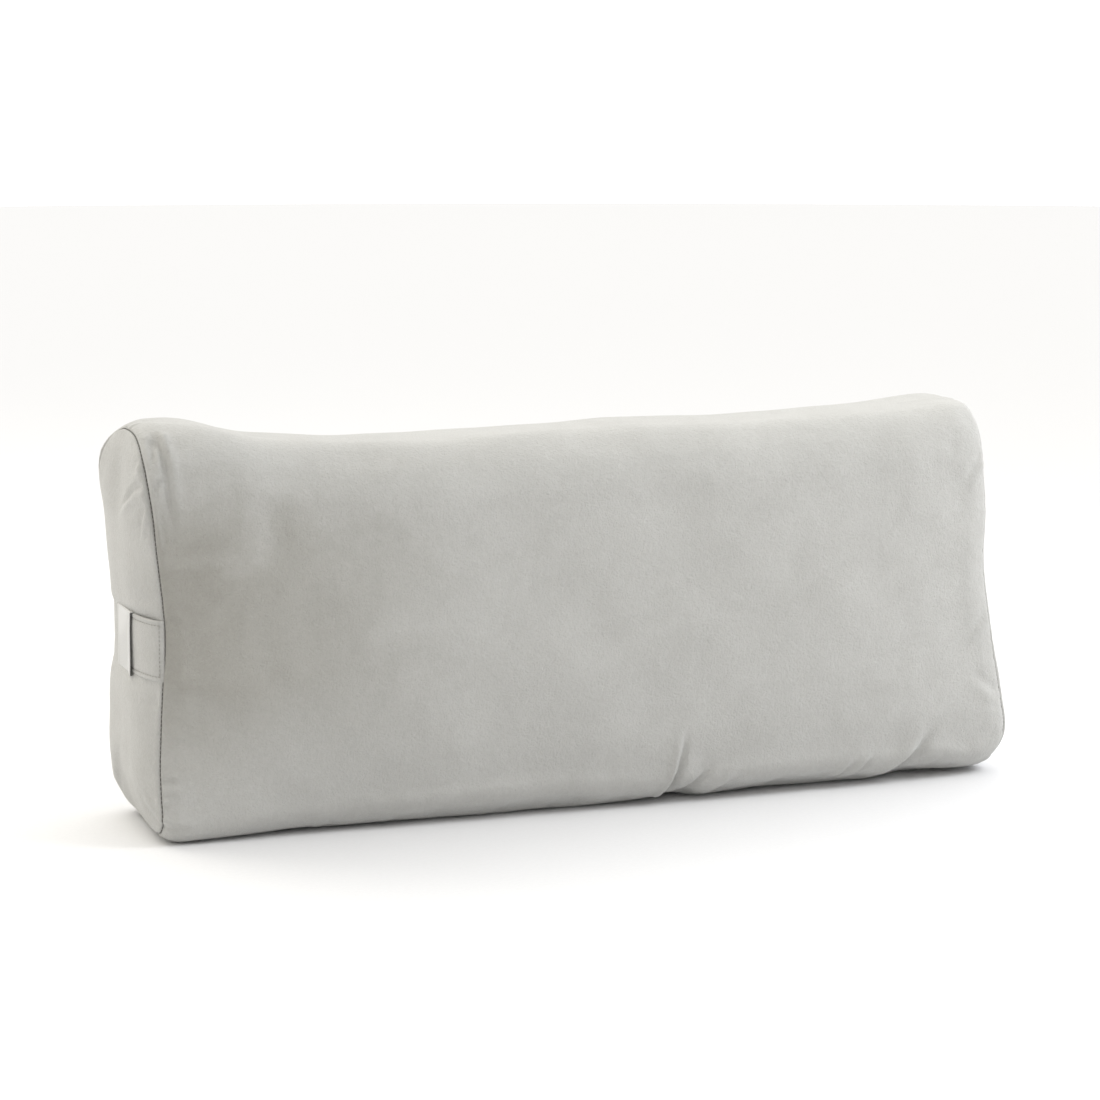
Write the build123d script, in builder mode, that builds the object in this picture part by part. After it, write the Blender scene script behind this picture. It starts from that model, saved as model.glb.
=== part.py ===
"""Lumbar support cushion: a rectangular bolster that stands on its long edge.

A removable microsuede cover (one wrap panel and two domed end panels) closes with a zip low on
its back. Inside it lies a cotton liner, stuffed with a foam core in a fibre wrap. A flat carry
strap with a woven label crosses the left end.

Frame: +X along the cushion, +Y to its back, +Z up, origin at the middle of the resting face.
All lengths are in millimetres.
"""

import os

from build123d import *

# ---------------------------------------------------------------- the cushion's outer form
SEAM_X = 308.0  # from the middle to the seam between wrap and end panel
SHOULDER_X = 240.0  # the wrap is fullest up to here, and eases in from here to the seam
BAND_HALF_DEPTH = 64.0  # half the depth along the straight lower band of each big face
SEAM_HALF_DEPTH = 60.0  # half the depth of the end panels
MIDDLE_TOP, SHOULDER_TOP, SEAM_TOP = 276.0, 284.0, 279.0  # the long top edge sags a little
SEAM_FLOOR = 5.0  # the ends lift off the resting surface by this much
MIDDLE_CROWN, SHOULDER_CROWN, SEAM_CROWN = 11.0, 9.0, 0.6  # how far the big faces swell past it
CROWN_START_Z = 62.0  # below this height the big faces are upright
BOTTOM_RADIUS, TOP_RADIUS = 30.0, 36.0
LEFT_DOME, RIGHT_DOME = 9.5, 13.6  # how far the end panels swell past the seams
DOME_EDGE = 0.92  # the dome's edge radius as a share of its height

# ---------------------------------------------------------------- cloth and filling
COVER_THICK = 1.2
LINER_INSET, LINER_THICK, LINER_SEAM_X, LINER_DOME = 4.0, 0.6, 304.0, 7.0
FIBRE_INSET, FIBRE_END_X = 5.2, 300.0
CORE_LENGTH, CORE_DEPTH, CORE_HEIGHT, CORE_EDGE = 549.0, 76.0, 222.0, 6.0
CORE_GAP = 0.5  # between the foam core and the fibre around it
THREAD = 0.4
THREAD_GAP = 0.05  # a thread lies this far off the cloth that it is sewn to

# ---------------------------------------------------------------- carry strap and label
STRAP_Z, STRAP_WIDTH, STRAP_THICK = 134.0, 42.0, 2.0
STRAP_END_X = SEAM_X + 0.4  # the strap's ends stop at the seam
STRAP_END_Y = SEAM_HALF_DEPTH + SEAM_CROWN + 0.3
STRAP_FLAT_X = SEAM_X + LEFT_DOME + 1.0  # inner face of the strap's flat middle
STRAP_FLAT_HALF = 50.0
TOPSTITCH_INSET = 3.5  # from the strap's edge to its line of stitches
LABEL_WIDTH, LABEL_THICK = 40.0, 0.5
LABEL_BACK_X = SEAM_X + LEFT_DOME + 0.4  # the label's back ply runs behind the strap
LABEL_FRONT_X = STRAP_FLAT_X + STRAP_THICK + 0.6

# ---------------------------------------------------------------- zip
ZIP_Z = 47.0
SLOT_HALF_LENGTH, SLOT_WIDTH = 228.0, 12.0
TAPE_HALF_LENGTH, TAPE_THICK, TAPE_GAP, TAPE_WIDTH = 238.0, 0.6, 3.0, 14.5
TAPE_Y = BAND_HALF_DEPTH - COVER_THICK - 0.3  # outer face of the tapes
COIL_HALF_LENGTH, COIL_WIDTH, COIL_THICK = 221.5, 3.2, 2.0
ZIP_STITCH_OFFSET = 9.0
TACK_X, TACK_WIDTH, TACK_LENGTH = 231.0, 2.0, 13.0
SLIDER_LENGTH, SLIDER_WIDTH, SLIDER_CORNER = 15.0, 9.8, 2.4
SLIDER_X = 219.5  # middle of the slider when the zip is closed
UPPER_PLATE_Y, UPPER_PLATE_THICK = BAND_HALF_DEPTH + 0.85, 1.1
LOWER_PLATE_Y, LOWER_PLATE_THICK = BAND_HALF_DEPTH - 3.4, 1.0
FLANGE_THICK, FLANGE_FOOT_Y = 1.3, BAND_HALF_DEPTH - 1.1
POST_LENGTH, POST_WIDTH, POST_OFFSET = 3.0, 2.0, 4.5
BRIDGE_LENGTH, BRIDGE_WIDTH, BRIDGE_HEIGHT, BRIDGE_WALL = 9.5, 1.8, 2.65, 1.0
PULL_LENGTH, PULL_WIDTH, PULL_THICK, PULL_CORNER = 26.0, 7.0, 1.3, 2.2
PULL_AXIS_Y = UPPER_PLATE_Y + UPPER_PLATE_THICK + 0.8
PULL_BAR, PULL_WINDOW_LENGTH, PULL_WINDOW_WIDTH = 0.65, 5.6, 3.4
PULL_HOLE_RADIUS, PULL_HOLE_DISTANCE = 1.6, 20.5

# ---------------------------------------------------------------- care label
CARE_X, CARE_LENGTH, CARE_LOW_Z, CARE_HIGH_Z = 175.0, 50.0, 23.5, 41.0
CARE_Y, CARE_THICK = BAND_HALF_DEPTH - 2.9, 0.4


def eased(x, middle, shoulder, seam):
    """A size of the form at x, in straight lines between its middle, shoulder and seam values."""
    x = abs(x)
    if x <= SHOULDER_X:
        return middle + (shoulder - middle) * x / SHOULDER_X
    return shoulder + (seam - shoulder) * (x - SHOULDER_X) / (SEAM_X - SHOULDER_X)


def section(x, inset=0.0):
    """The cushion's cross-section at x as a face, moved inward by inset."""
    half = eased(x, BAND_HALF_DEPTH, BAND_HALF_DEPTH, SEAM_HALF_DEPTH) - inset
    floor = eased(x, 0.0, 0.0, SEAM_FLOOR) + inset
    top = eased(x, MIDDLE_TOP, SHOULDER_TOP, SEAM_TOP) - inset
    crown = eased(x, MIDDLE_CROWN, SHOULDER_CROWN, SEAM_CROWN)
    low, high = BOTTOM_RADIUS - inset, TOP_RADIUS - inset
    crown_top = top - high
    with BuildSketch(Plane.YZ.offset(x)) as face:
        with BuildLine():
            Line((0, floor), (half - low, floor))
            CenterArc((half - low, floor + low), low, -90, 90)
            Line((half, floor + low), (half, CROWN_START_Z))
            middle_z = (CROWN_START_Z + crown_top) / 2
            ThreePointArc((half, CROWN_START_Z), (half + crown, middle_z), (half, crown_top))
            CenterArc((half - high, crown_top), high, 0, 90)
            Line((half - high, top), (0, top))
            mirror(about=Plane.YZ)
        make_face()
    return face.sketch


def barrel(half_length, inset):
    """The wrap's crowned form, closed flat at half_length each way."""
    with BuildPart() as form:
        for x in (-half_length, -SHOULDER_X, 0, SHOULDER_X, half_length):
            add(section(x, inset))
        loft(ruled=True)
    return form.part


def dome(side, height, seam_x=SEAM_X, inset=0.0, thickness=0.0):
    """A domed end on the outline at seam_x, made smaller all round by thickness."""
    rise = height - thickness
    with BuildPart() as form:
        add(section(side * seam_x, inset + thickness))
        extrude(amount=rise, dir=(side, 0, 0))
        crest = form.faces().sort_by(Axis.X)[-1 if side > 0 else 0]
        fillet(crest.edges(), DOME_EDGE * rise)
    return form.part


def seam_ring(side):
    """The thread round one end, just outside the seam."""
    start = side * (SEAM_X - THREAD / 2)
    outline = section(start, -(THREAD_GAP + THREAD)) - section(start, -THREAD_GAP)
    with BuildPart() as ring:
        add(outline)
        extrude(amount=THREAD, dir=(side, 0, 0))
    return ring.part


def strap_band(near, far, low_z, high_z):
    """A band that follows the strap's path, from near to far off its inner face."""
    with BuildPart() as band:
        with BuildSketch(Plane.XY.offset(low_z)):
            with BuildLine():
                inner, outer = STRAP_FLAT_X + near, STRAP_FLAT_X + far
                inner_y, outer_y = STRAP_END_Y + near, STRAP_END_Y + far
                Line((-inner, 0), (-inner, STRAP_FLAT_HALF))
                Bezier((-inner, STRAP_FLAT_HALF), (-inner, inner_y), (-STRAP_END_X, inner_y))
                Line((-STRAP_END_X, inner_y), (-STRAP_END_X, outer_y))
                Bezier((-STRAP_END_X, outer_y), (-outer, outer_y), (-outer, STRAP_FLAT_HALF))
                Line((-outer, STRAP_FLAT_HALF), (-outer, 0))
                mirror(about=Plane.XZ)
            make_face()
        extrude(amount=high_z - low_z)
    return band.part


os.makedirs("parts", exist_ok=True)

# ================================================================ outer cover
with BuildPart() as cover_wrap:
    add(barrel(SEAM_X, 0.0))
    add(barrel(SEAM_X, COVER_THICK), mode=Mode.SUBTRACT)
    slot_plane = Plane(origin=(0, BAND_HALF_DEPTH + 1, ZIP_Z), x_dir=(1, 0, 0), z_dir=(0, -1, 0))
    with BuildSketch(slot_plane):
        SlotOverall(2 * SLOT_HALF_LENGTH, SLOT_WIDTH)
    extrude(amount=COVER_THICK + 3, mode=Mode.SUBTRACT)
cover_wrap.part.label = "cover_wrap"
export_step(cover_wrap.part, "parts/cover_wrap.step")

for side, name, height in ((-1, "left_end_panel", LEFT_DOME), (1, "right_end_panel", RIGHT_DOME)):
    with BuildPart() as end_panel:
        add(dome(side, height))
        add(dome(side, height, thickness=COVER_THICK), mode=Mode.SUBTRACT)
    end_panel.part.label = name
    export_step(end_panel.part, f"parts/{name}.step")

for side, name in ((-1, "left_seam_thread"), (1, "right_seam_thread")):
    with BuildPart() as seam_thread:
        add(seam_ring(side))
    seam_thread.part.label = name
    export_step(seam_thread.part, f"parts/{name}.step")

# ================================================================ carry strap on the left end
strap_low, strap_high = STRAP_Z - STRAP_WIDTH / 2, STRAP_Z + STRAP_WIDTH / 2

with BuildPart() as handle_strap:
    add(strap_band(0, STRAP_THICK, strap_low, strap_high))
handle_strap.part.label = "handle_strap"
export_step(handle_strap.part, "parts/handle_strap.step")

with BuildPart() as handle_topstitching:
    for row_z in (strap_low + TOPSTITCH_INSET, strap_high - TOPSTITCH_INSET):
        near = STRAP_THICK + THREAD_GAP
        add(strap_band(near, near + THREAD, row_z - THREAD / 2, row_z + THREAD / 2))
handle_topstitching.part.label = "handle_topstitching"
export_step(handle_topstitching.part, "parts/handle_topstitching.step")

with BuildPart() as handle_label:
    label_depth = LABEL_FRONT_X + LABEL_THICK - LABEL_BACK_X
    label_height = STRAP_WIDTH + 0.2 + 2 * LABEL_THICK
    label_middle = (-(LABEL_BACK_X + label_depth / 2), 0, STRAP_Z)
    with BuildSketch(Plane(origin=label_middle, x_dir=(1, 0, 0), z_dir=(0, -1, 0))):
        RectangleRounded(label_depth, label_height, LABEL_THICK)
        offset_size = 2 * LABEL_THICK
        Rectangle(label_depth - offset_size, label_height - offset_size, mode=Mode.SUBTRACT)
    extrude(amount=LABEL_WIDTH / 2, both=True)
handle_label.part.label = "handle_label"
export_step(handle_label.part, "parts/handle_label.step")

# ================================================================ zip on the back
for side, name in ((1, "zip_tape_upper"), (-1, "zip_tape_lower")):
    with BuildPart() as zip_tape:
        tape_middle = ZIP_Z + side * (TAPE_GAP + TAPE_WIDTH) / 2
        with Locations((0, TAPE_Y - TAPE_THICK / 2, tape_middle)):
            Box(2 * TAPE_HALF_LENGTH, TAPE_THICK, TAPE_WIDTH)
    zip_tape.part.label = name
    export_step(zip_tape.part, f"parts/{name}.step")

for side, name in ((1, "zip_coil_upper"), (-1, "zip_coil_lower")):
    with BuildPart() as zip_coil:
        coil_middle = ZIP_Z + side * (COIL_WIDTH / 2 + THREAD_GAP)
        with Locations((0, TAPE_Y + THREAD_GAP + COIL_THICK / 2, coil_middle)):
            Box(2 * COIL_HALF_LENGTH, COIL_THICK, COIL_WIDTH)
        outer_face = zip_coil.faces().sort_by(Axis.Y)[-1]
        fillet(outer_face.edges().filter_by(Axis.X), 0.6)
    zip_coil.part.label = name
    export_step(zip_coil.part, f"parts/{name}.step")

with BuildPart() as zip_slider:
    # The upper plate, with a foot along each side that keeps the coils in.
    with BuildSketch(Plane.XZ.offset(-UPPER_PLATE_Y)):
        with Locations((SLIDER_X, ZIP_Z)):
            RectangleRounded(SLIDER_LENGTH, SLIDER_WIDTH, SLIDER_CORNER)
    extrude(amount=-UPPER_PLATE_THICK)
    foot_height = UPPER_PLATE_Y - FLANGE_FOOT_Y
    for side in (-1, 1):
        foot_z = ZIP_Z + side * (SLIDER_WIDTH - FLANGE_THICK) / 2
        with Locations((SLIDER_X, FLANGE_FOOT_Y + foot_height / 2, foot_z)):
            Box(SLIDER_LENGTH - 2 * SLIDER_CORNER, foot_height, FLANGE_THICK)
    # The lower plate runs behind the tapes.
    with BuildSketch(Plane.XZ.offset(-LOWER_PLATE_Y)):
        with Locations((SLIDER_X, ZIP_Z)):
            RectangleRounded(SLIDER_LENGTH - 2, SLIDER_WIDTH - 1.4, SLIDER_CORNER)
    extrude(amount=-LOWER_PLATE_THICK)
    # The post between the plates parts the two coils.
    post_low = LOWER_PLATE_Y + LOWER_PLATE_THICK
    with Locations((SLIDER_X + POST_OFFSET, (post_low + UPPER_PLATE_Y) / 2, ZIP_Z)):
        Box(POST_LENGTH, UPPER_PLATE_Y - post_low, POST_WIDTH)
    # The bridge on top holds the pull.
    bridge_foot = UPPER_PLATE_Y + UPPER_PLATE_THICK
    with BuildSketch(Plane(origin=(SLIDER_X, bridge_foot, ZIP_Z), x_dir=(1, 0, 0), z_dir=(0, 0, 1))):
        with Locations((0, BRIDGE_HEIGHT / 2)):
            Rectangle(BRIDGE_LENGTH, BRIDGE_HEIGHT)
        opening_height = BRIDGE_HEIGHT - BRIDGE_WALL
        with Locations((0, opening_height / 2)):
            Rectangle(BRIDGE_LENGTH - 4 * BRIDGE_WALL, opening_height, mode=Mode.SUBTRACT)
    extrude(amount=BRIDGE_WIDTH / 2, both=True)
    bridge_crest = zip_slider.faces().sort_by(Axis.Y)[-1]
    fillet(bridge_crest.edges().filter_by(Axis.Z), 0.9)
zip_slider.part.label = "zip_slider"
export_step(zip_slider.part, "parts/zip_slider.step")

with BuildPart() as zip_pull:
    with BuildSketch(Plane.XZ.offset(-(PULL_AXIS_Y - PULL_THICK / 2))):
        with Locations((SLIDER_X - PULL_LENGTH / 2 + PULL_BAR, ZIP_Z)):
            RectangleRounded(PULL_LENGTH, PULL_WIDTH, PULL_CORNER)
        with Locations((SLIDER_X - PULL_HOLE_DISTANCE, ZIP_Z)):
            Circle(PULL_HOLE_RADIUS, mode=Mode.SUBTRACT)
        window_middle = SLIDER_X - (PULL_WINDOW_LENGTH + PULL_BAR) / 2
        with Locations((window_middle, ZIP_Z)):
            window_length = PULL_WINDOW_LENGTH - PULL_BAR
            Rectangle(window_length, PULL_WINDOW_WIDTH, mode=Mode.SUBTRACT)
    extrude(amount=-PULL_THICK)
    bar_edges = zip_pull.faces().sort_by(Axis.X)[-1].edges().filter_by(Axis.Z)
    fillet(bar_edges, 0.45 * PULL_THICK)
zip_pull.part.label = "zip_pull"
export_step(zip_pull.part, "parts/zip_pull.step")

with BuildPart() as zip_topstitching:
    stitch_y = BAND_HALF_DEPTH + THREAD_GAP + THREAD / 2
    with Locations(*[(0, stitch_y, ZIP_Z + side * ZIP_STITCH_OFFSET) for side in (-1, 1)]):
        Box(2 * TACK_X, THREAD, THREAD)
zip_topstitching.part.label = "zip_topstitching"
export_step(zip_topstitching.part, "parts/zip_topstitching.step")

with BuildPart() as zip_bar_tacks:
    tack_thick = 1.5 * THREAD
    tack_y = BAND_HALF_DEPTH + THREAD_GAP + tack_thick / 2
    with Locations(*[(side * TACK_X, tack_y, ZIP_Z) for side in (-1, 1)]):
        Box(TACK_WIDTH, tack_thick, TACK_LENGTH)
zip_bar_tacks.part.label = "zip_bar_tacks"
export_step(zip_bar_tacks.part, "parts/zip_bar_tacks.step")

with BuildPart() as care_label:
    with Locations((CARE_X, CARE_Y + CARE_THICK / 2, (CARE_LOW_Z + CARE_HIGH_Z) / 2)):
        Box(CARE_LENGTH, CARE_THICK, CARE_HIGH_Z - CARE_LOW_Z)
care_label.part.label = "care_label"
export_step(care_label.part, "parts/care_label.step")

# ================================================================ liner
with BuildPart() as liner_wrap:
    add(barrel(LINER_SEAM_X, LINER_INSET))
    add(barrel(LINER_SEAM_X, LINER_INSET + LINER_THICK), mode=Mode.SUBTRACT)
liner_wrap.part.label = "liner_wrap"
export_step(liner_wrap.part, "parts/liner_wrap.step")

for side, name in ((-1, "liner_left_end"), (1, "liner_right_end")):
    with BuildPart() as liner_end:
        add(dome(side, LINER_DOME, LINER_SEAM_X, LINER_INSET))
        inner = dome(side, LINER_DOME, LINER_SEAM_X, LINER_INSET, LINER_THICK)
        add(inner, mode=Mode.SUBTRACT)
    liner_end.part.label = name
    export_step(liner_end.part, f"parts/{name}.step")

with BuildPart() as liner_closing_stitch:
    with Locations((0, 0, LINER_INSET - THREAD_GAP - THREAD / 2)):
        Box(SHOULDER_X, THREAD, THREAD)
liner_closing_stitch.part.label = "liner_closing_stitch"
export_step(liner_closing_stitch.part, "parts/liner_closing_stitch.step")

# ================================================================ filling
core_z = MIDDLE_TOP / 2
pocket_depth, pocket_height = CORE_DEPTH + 2 * CORE_GAP, CORE_HEIGHT + 2 * CORE_GAP

with BuildPart() as fibre_wrap:
    add(barrel(FIBRE_END_X, FIBRE_INSET))
    with Locations((0, 0, core_z)):
        Box(2 * FIBRE_END_X, pocket_depth, pocket_height, mode=Mode.SUBTRACT)
fibre_wrap.part.label = "fibre_wrap"
export_step(fibre_wrap.part, "parts/fibre_wrap.step")

for side, name in ((-1, "fibre_left_pad"), (1, "fibre_right_pad")):
    with BuildPart() as fibre_pad:
        pad_start = CORE_LENGTH / 2 + CORE_GAP
        pad_middle = side * (pad_start + FIBRE_END_X) / 2
        with Locations((pad_middle, 0, core_z)):
            Box(FIBRE_END_X - pad_start, CORE_DEPTH, CORE_HEIGHT)
        fillet(fibre_pad.edges().filter_by(Axis.X), CORE_EDGE)
    fibre_pad.part.label = name
    export_step(fibre_pad.part, f"parts/{name}.step")

with BuildPart() as foam_core:
    with Locations((0, 0, core_z)):
        Box(CORE_LENGTH, CORE_DEPTH, CORE_HEIGHT)
    fillet(foam_core.edges(), CORE_EDGE)
foam_core.part.label = "foam_core"
export_step(foam_core.part, "parts/foam_core.step")
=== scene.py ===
"""Lumbar support cushion: its looks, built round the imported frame.

Every length is in metres, in the frame's own axes: +X along the cushion, away from the carry strap,
+Y to the zipped back, +Z up, and the origin in the middle of the standing face.

The cover's form is a grid of points: one row along X for each ring round the cushion. The same
functions make the fine cover, the coarse cover for the cloth simulation, the liner and the fibre.
"""

import math

import bmesh
import bpy
import numpy as np
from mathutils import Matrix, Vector


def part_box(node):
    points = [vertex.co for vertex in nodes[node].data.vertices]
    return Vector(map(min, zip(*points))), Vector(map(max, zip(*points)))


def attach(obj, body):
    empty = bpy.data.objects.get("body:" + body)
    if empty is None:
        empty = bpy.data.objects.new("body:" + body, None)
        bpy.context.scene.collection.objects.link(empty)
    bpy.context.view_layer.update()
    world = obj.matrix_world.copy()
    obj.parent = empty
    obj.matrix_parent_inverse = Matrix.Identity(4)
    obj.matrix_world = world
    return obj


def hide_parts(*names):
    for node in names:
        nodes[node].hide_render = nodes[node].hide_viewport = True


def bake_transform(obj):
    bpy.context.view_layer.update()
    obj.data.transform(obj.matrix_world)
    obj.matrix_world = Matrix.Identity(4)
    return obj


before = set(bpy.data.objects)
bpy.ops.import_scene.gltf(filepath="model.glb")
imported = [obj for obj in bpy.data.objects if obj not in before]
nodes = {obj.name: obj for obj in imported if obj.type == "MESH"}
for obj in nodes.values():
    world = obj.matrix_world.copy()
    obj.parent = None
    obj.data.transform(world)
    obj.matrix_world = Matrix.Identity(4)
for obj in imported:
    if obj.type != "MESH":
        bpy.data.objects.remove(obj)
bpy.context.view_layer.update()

MM = 0.001

# ---------------------------------------------------------------- sizes that come from the frame
SEAM_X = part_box("cover_wrap")[1].x
FULL_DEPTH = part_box("cover_wrap")[1].y
SEAM_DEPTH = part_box("right_end_panel")[1].y
STRAP_LOW, STRAP_HIGH = (corner.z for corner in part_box("handle_strap"))
STRAP_Z = (STRAP_LOW + STRAP_HIGH) / 2
STRAP_OUT = -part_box("handle_strap")[0].x
LABEL_OUT = -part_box("handle_label")[0].x
LABEL_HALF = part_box("handle_label")[1].y
ZIP_Z = (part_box("zip_coil_lower")[0].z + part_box("zip_coil_upper")[1].z) / 2
ZIP_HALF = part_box("zip_coil_upper")[1].x
TACK_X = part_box("zip_bar_tacks")[1].x - 1 * MM

# ---------------------------------------------------------------- sizes of the cover
BAND_DEPTH = 64 * MM  # half the depth along the flat band that holds the zip
SLOT_HALF_WIDTH, SLOT_HALF_LENGTH = 6 * MM, 228 * MM
LOW_RADIUS, HIGH_RADIUS = 24 * MM, 40 * MM
SEAM_FLOOR = 1 * MM  # how far the wrap's underside has lifted at its seams
MIDDLE = Vector((0, 0, 0.14))
COVER_THICK, LINER_THICK, LABEL_THICK = 1.2 * MM, 0.6 * MM, 0.45 * MM
LINER_INSET, FIBRE_INSET = 4.3 * MM, 6.2 * MM

# ---------------------------------------------------------------- the strap, the thread and the zip
STRAP_THICK = 2 * MM
STRAP_HALF = (STRAP_HIGH - STRAP_LOW) / 2
STRAP_STITCH = STRAP_HALF - 3.4 * MM  # from the strap's middle to its rows of stitches
STRAP_PITCH, SEAM_PITCH, ZIP_PITCH = 3.1 * MM, 3.1 * MM, 3.0 * MM
TACK_PITCH, CLOSING_PITCH = 0.42 * MM, 4 * MM
THREAD_WIDTH, ARCH = 0.5 * MM, 0.35 * MM
COIL_PITCH, COIL_REACH, COIL_RISE, FILAMENT = 1.27 * MM, 1.45 * MM, 0.75 * MM, 0.27 * MM
COIL_Y = 63.5 * MM
COIL_EDGE = 1.45 * MM  # from the zip's middle to the middle of each coil
POST_START, POST_NEAR = -209 * MM, -211.5 * MM  # where the coils narrow for the open slider's post


# ---------------------------------------------------------------- curves
def unit(vectors):
    return vectors / np.linalg.norm(vectors, axis=-1, keepdims=True).clip(1e-12)


def ease(low, high, value):
    """0 before low, 1 after high, and smooth between them."""
    t = np.clip((value - low) / (high - low), 0, 1)
    return t * t * (3 - 2 * t)


def curve(value, *points):
    """A smooth curve through (place, height) points, flat beyond the first and the last."""
    places, heights = np.array(points, float).T
    slopes = np.gradient(heights, places)
    slopes[0] = slopes[-1] = 0
    return bend(np.clip(value, places[0], places[-1]), places, heights, slopes)


def bend(value, places, heights, slopes):
    """A smooth curve through heights at places, with a slope at each."""
    k = np.clip(np.searchsorted(places, value) - 1, 0, len(places) - 2)
    span = places[k + 1] - places[k]
    t = (value - places[k]) / span
    rise = heights[k] * (1 + 2 * t) * (1 - t) ** 2 + heights[k + 1] * t * t * (3 - 2 * t)
    return rise + span * (slopes[k] * t * (1 - t) ** 2 - slopes[k + 1] * t * t * (1 - t))


def top_height(x):
    """The long top edge: high ears at both ends, and a sag that is deepest left of the middle."""
    left = (-308, 281), (-285, 282), (-225, 270), (-120, 265), (0, 268)
    return curve(x / MM, *left, (190, 270), (260, 274), (308, 277)) * MM


def bottom_lift(x):
    """The two places where the lower front edge is drawn up into folds."""
    first = 4 * np.exp(-(((x / MM - 64) / 16) ** 2))
    between = 2.2 * ease(80, 110, x / MM) * ease(230, 200, x / MM)
    return (first + between + 6.5 * np.exp(-(((x / MM - 256) / 28) ** 2))) * MM


def shoulders(x):
    """How far the wrap has rounded in towards its seams: its depth, top and floor at each x."""
    reach = np.where(x < 0, 15, 22) * MM
    near = np.clip(1 - (SEAM_X - np.abs(x)) / reach, 0, 1)
    steep, gentle = 1 - np.sqrt(1 - 0.97 * near**2), 2.2 * (1 - np.sqrt(1 - 0.6 * near**2))
    rounded = np.where(x < 0, gentle, steep)[:, None]
    left, right = np.array((3.5, 5, 7)) * MM, np.array((7, 4, 4.5)) * MM
    return (rounded * np.where(x[:, None] < 0, left, right)).T[..., None]


def left_lean(y, z):
    """How far the left seam stands out (+) from its plane: its front, and how much further its
    back. The strap holds it in at its height."""
    front = [(0, 3), (60, 4), (110, 0.8), (134, -1), (155, -0.6), (180, 1.5), (200, 3.6), (250, 9)]
    front += [(284, 8)]
    back = [(0, -3), (25, 6), (60, 6), (110, 6), (150, 6.5), (175, 5), (215, 6.5), (262, 6.5)]
    back += [(284, 2)]
    return (curve(z / MM, *front) + curve(z / MM, *back) * ease(-0.03, 0.05, y)) * MM


def right_lean(z):
    """The filling has slumped into the lower right end."""
    low = (0, 17), (35, 24), (60, 19), (100, 12)
    return curve(z / MM, *low, (150, 3), (203, 3), (225, 0.5), (284, 0.5)) * MM


def half_ring(x, counts, inset):
    """Half rings of (depth, z) at each x, from the bottom's middle over one side to the top's.
    counts are the steps of its seven stretches: bottom, low arc, below the slot, slot, face, high
    arc and top."""
    end = ease(0.24, SEAM_X, np.abs(x))[:, None]
    less_deep, less_high, lifted = shoulders(x)
    half = BAND_DEPTH + (SEAM_DEPTH - BAND_DEPTH) * end - less_deep - inset
    floor = SEAM_FLOOR * end**2 + lifted + inset
    top = top_height(x)[:, None] - less_high - inset
    toward_left = ease(0.24, SEAM_X, -x)[:, None]
    low = LOW_RADIUS - 9 * MM * toward_left - inset * 0.8
    high = HIGH_RADIUS + 12 * MM * toward_left - inset * 0.8
    slot_low, slot_high = ZIP_Z - SLOT_HALF_WIDTH, ZIP_Z + SLOT_HALF_WIDTH
    ones = np.ones_like(top)

    def run(start, end, count):
        return start + (end - start) * np.arange(count) / count

    def arc(count, start):
        return np.radians(start - 90 * np.arange(count) / count)[None]

    turn_low, turn_high = arc(counts[1], -90), arc(counts[5], 180)
    stretches = [
        (run(0 * half, half - low, counts[0]), floor * np.ones((1, counts[0]))),
        (half - low - low * np.cos(turn_low), floor + low + low * np.sin(turn_low)),
        (half * np.ones((1, counts[2])), run(floor + low, slot_low * ones, counts[2])),
        (half * np.ones((1, counts[3])), run(slot_low * ones, slot_high * ones, counts[3])),
        (half * np.ones((1, counts[4])), run(slot_high * ones, top - high, counts[4])),
        (half - high - high * np.cos(turn_high), top - high + high * np.sin(turn_high)),
        (run(half - high, 0 * half, counts[6]), top * np.ones((1, counts[6]))),
    ]
    depth = np.concatenate([s[0] for s in stretches] + [0 * half], 1)
    z = np.concatenate([s[1] for s in stretches] + [top], 1)
    return depth, z


def ring(x, counts, inset):
    """Rings of (y, z) at each x: up the front, and back down the back, each with its own counts."""
    front, front_z = half_ring(x, counts[0], inset)
    back, back_z = half_ring(x, counts[1], inset)
    y = np.concatenate([-front, back[:, -2:0:-1]], 1)
    return y, np.concatenate([front_z, back_z[:, -2:0:-1]], 1)


def lengths_along(count, *busy):
    """Places along X from seam to seam, closer together at the seams and at each busy place. Busy
    places and the reach of each are in millimetres."""
    x = np.linspace(-SEAM_X, SEAM_X, 4001)
    away = (SEAM_X - np.abs(x)) / MM
    weight = 1 + 3.2 * np.exp(-away / 22) + 14 * np.exp(-away / 2)
    for place, reach in busy:
        weight += 1.7 * np.exp(-(((x / MM - place) / reach) ** 2))
    total = np.concatenate([[0], np.cumsum((weight[1:] + weight[:-1]) / 2)])
    return np.interp(np.linspace(0, total[-1], count + 1), total, x)


def smooth_rings(a, passes):
    """Eases the corners of each ring."""
    for _ in range(passes):
        a = (np.roll(a, 1, 1) + 2 * a + np.roll(a, -1, 1)) / 4
    return a


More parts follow.
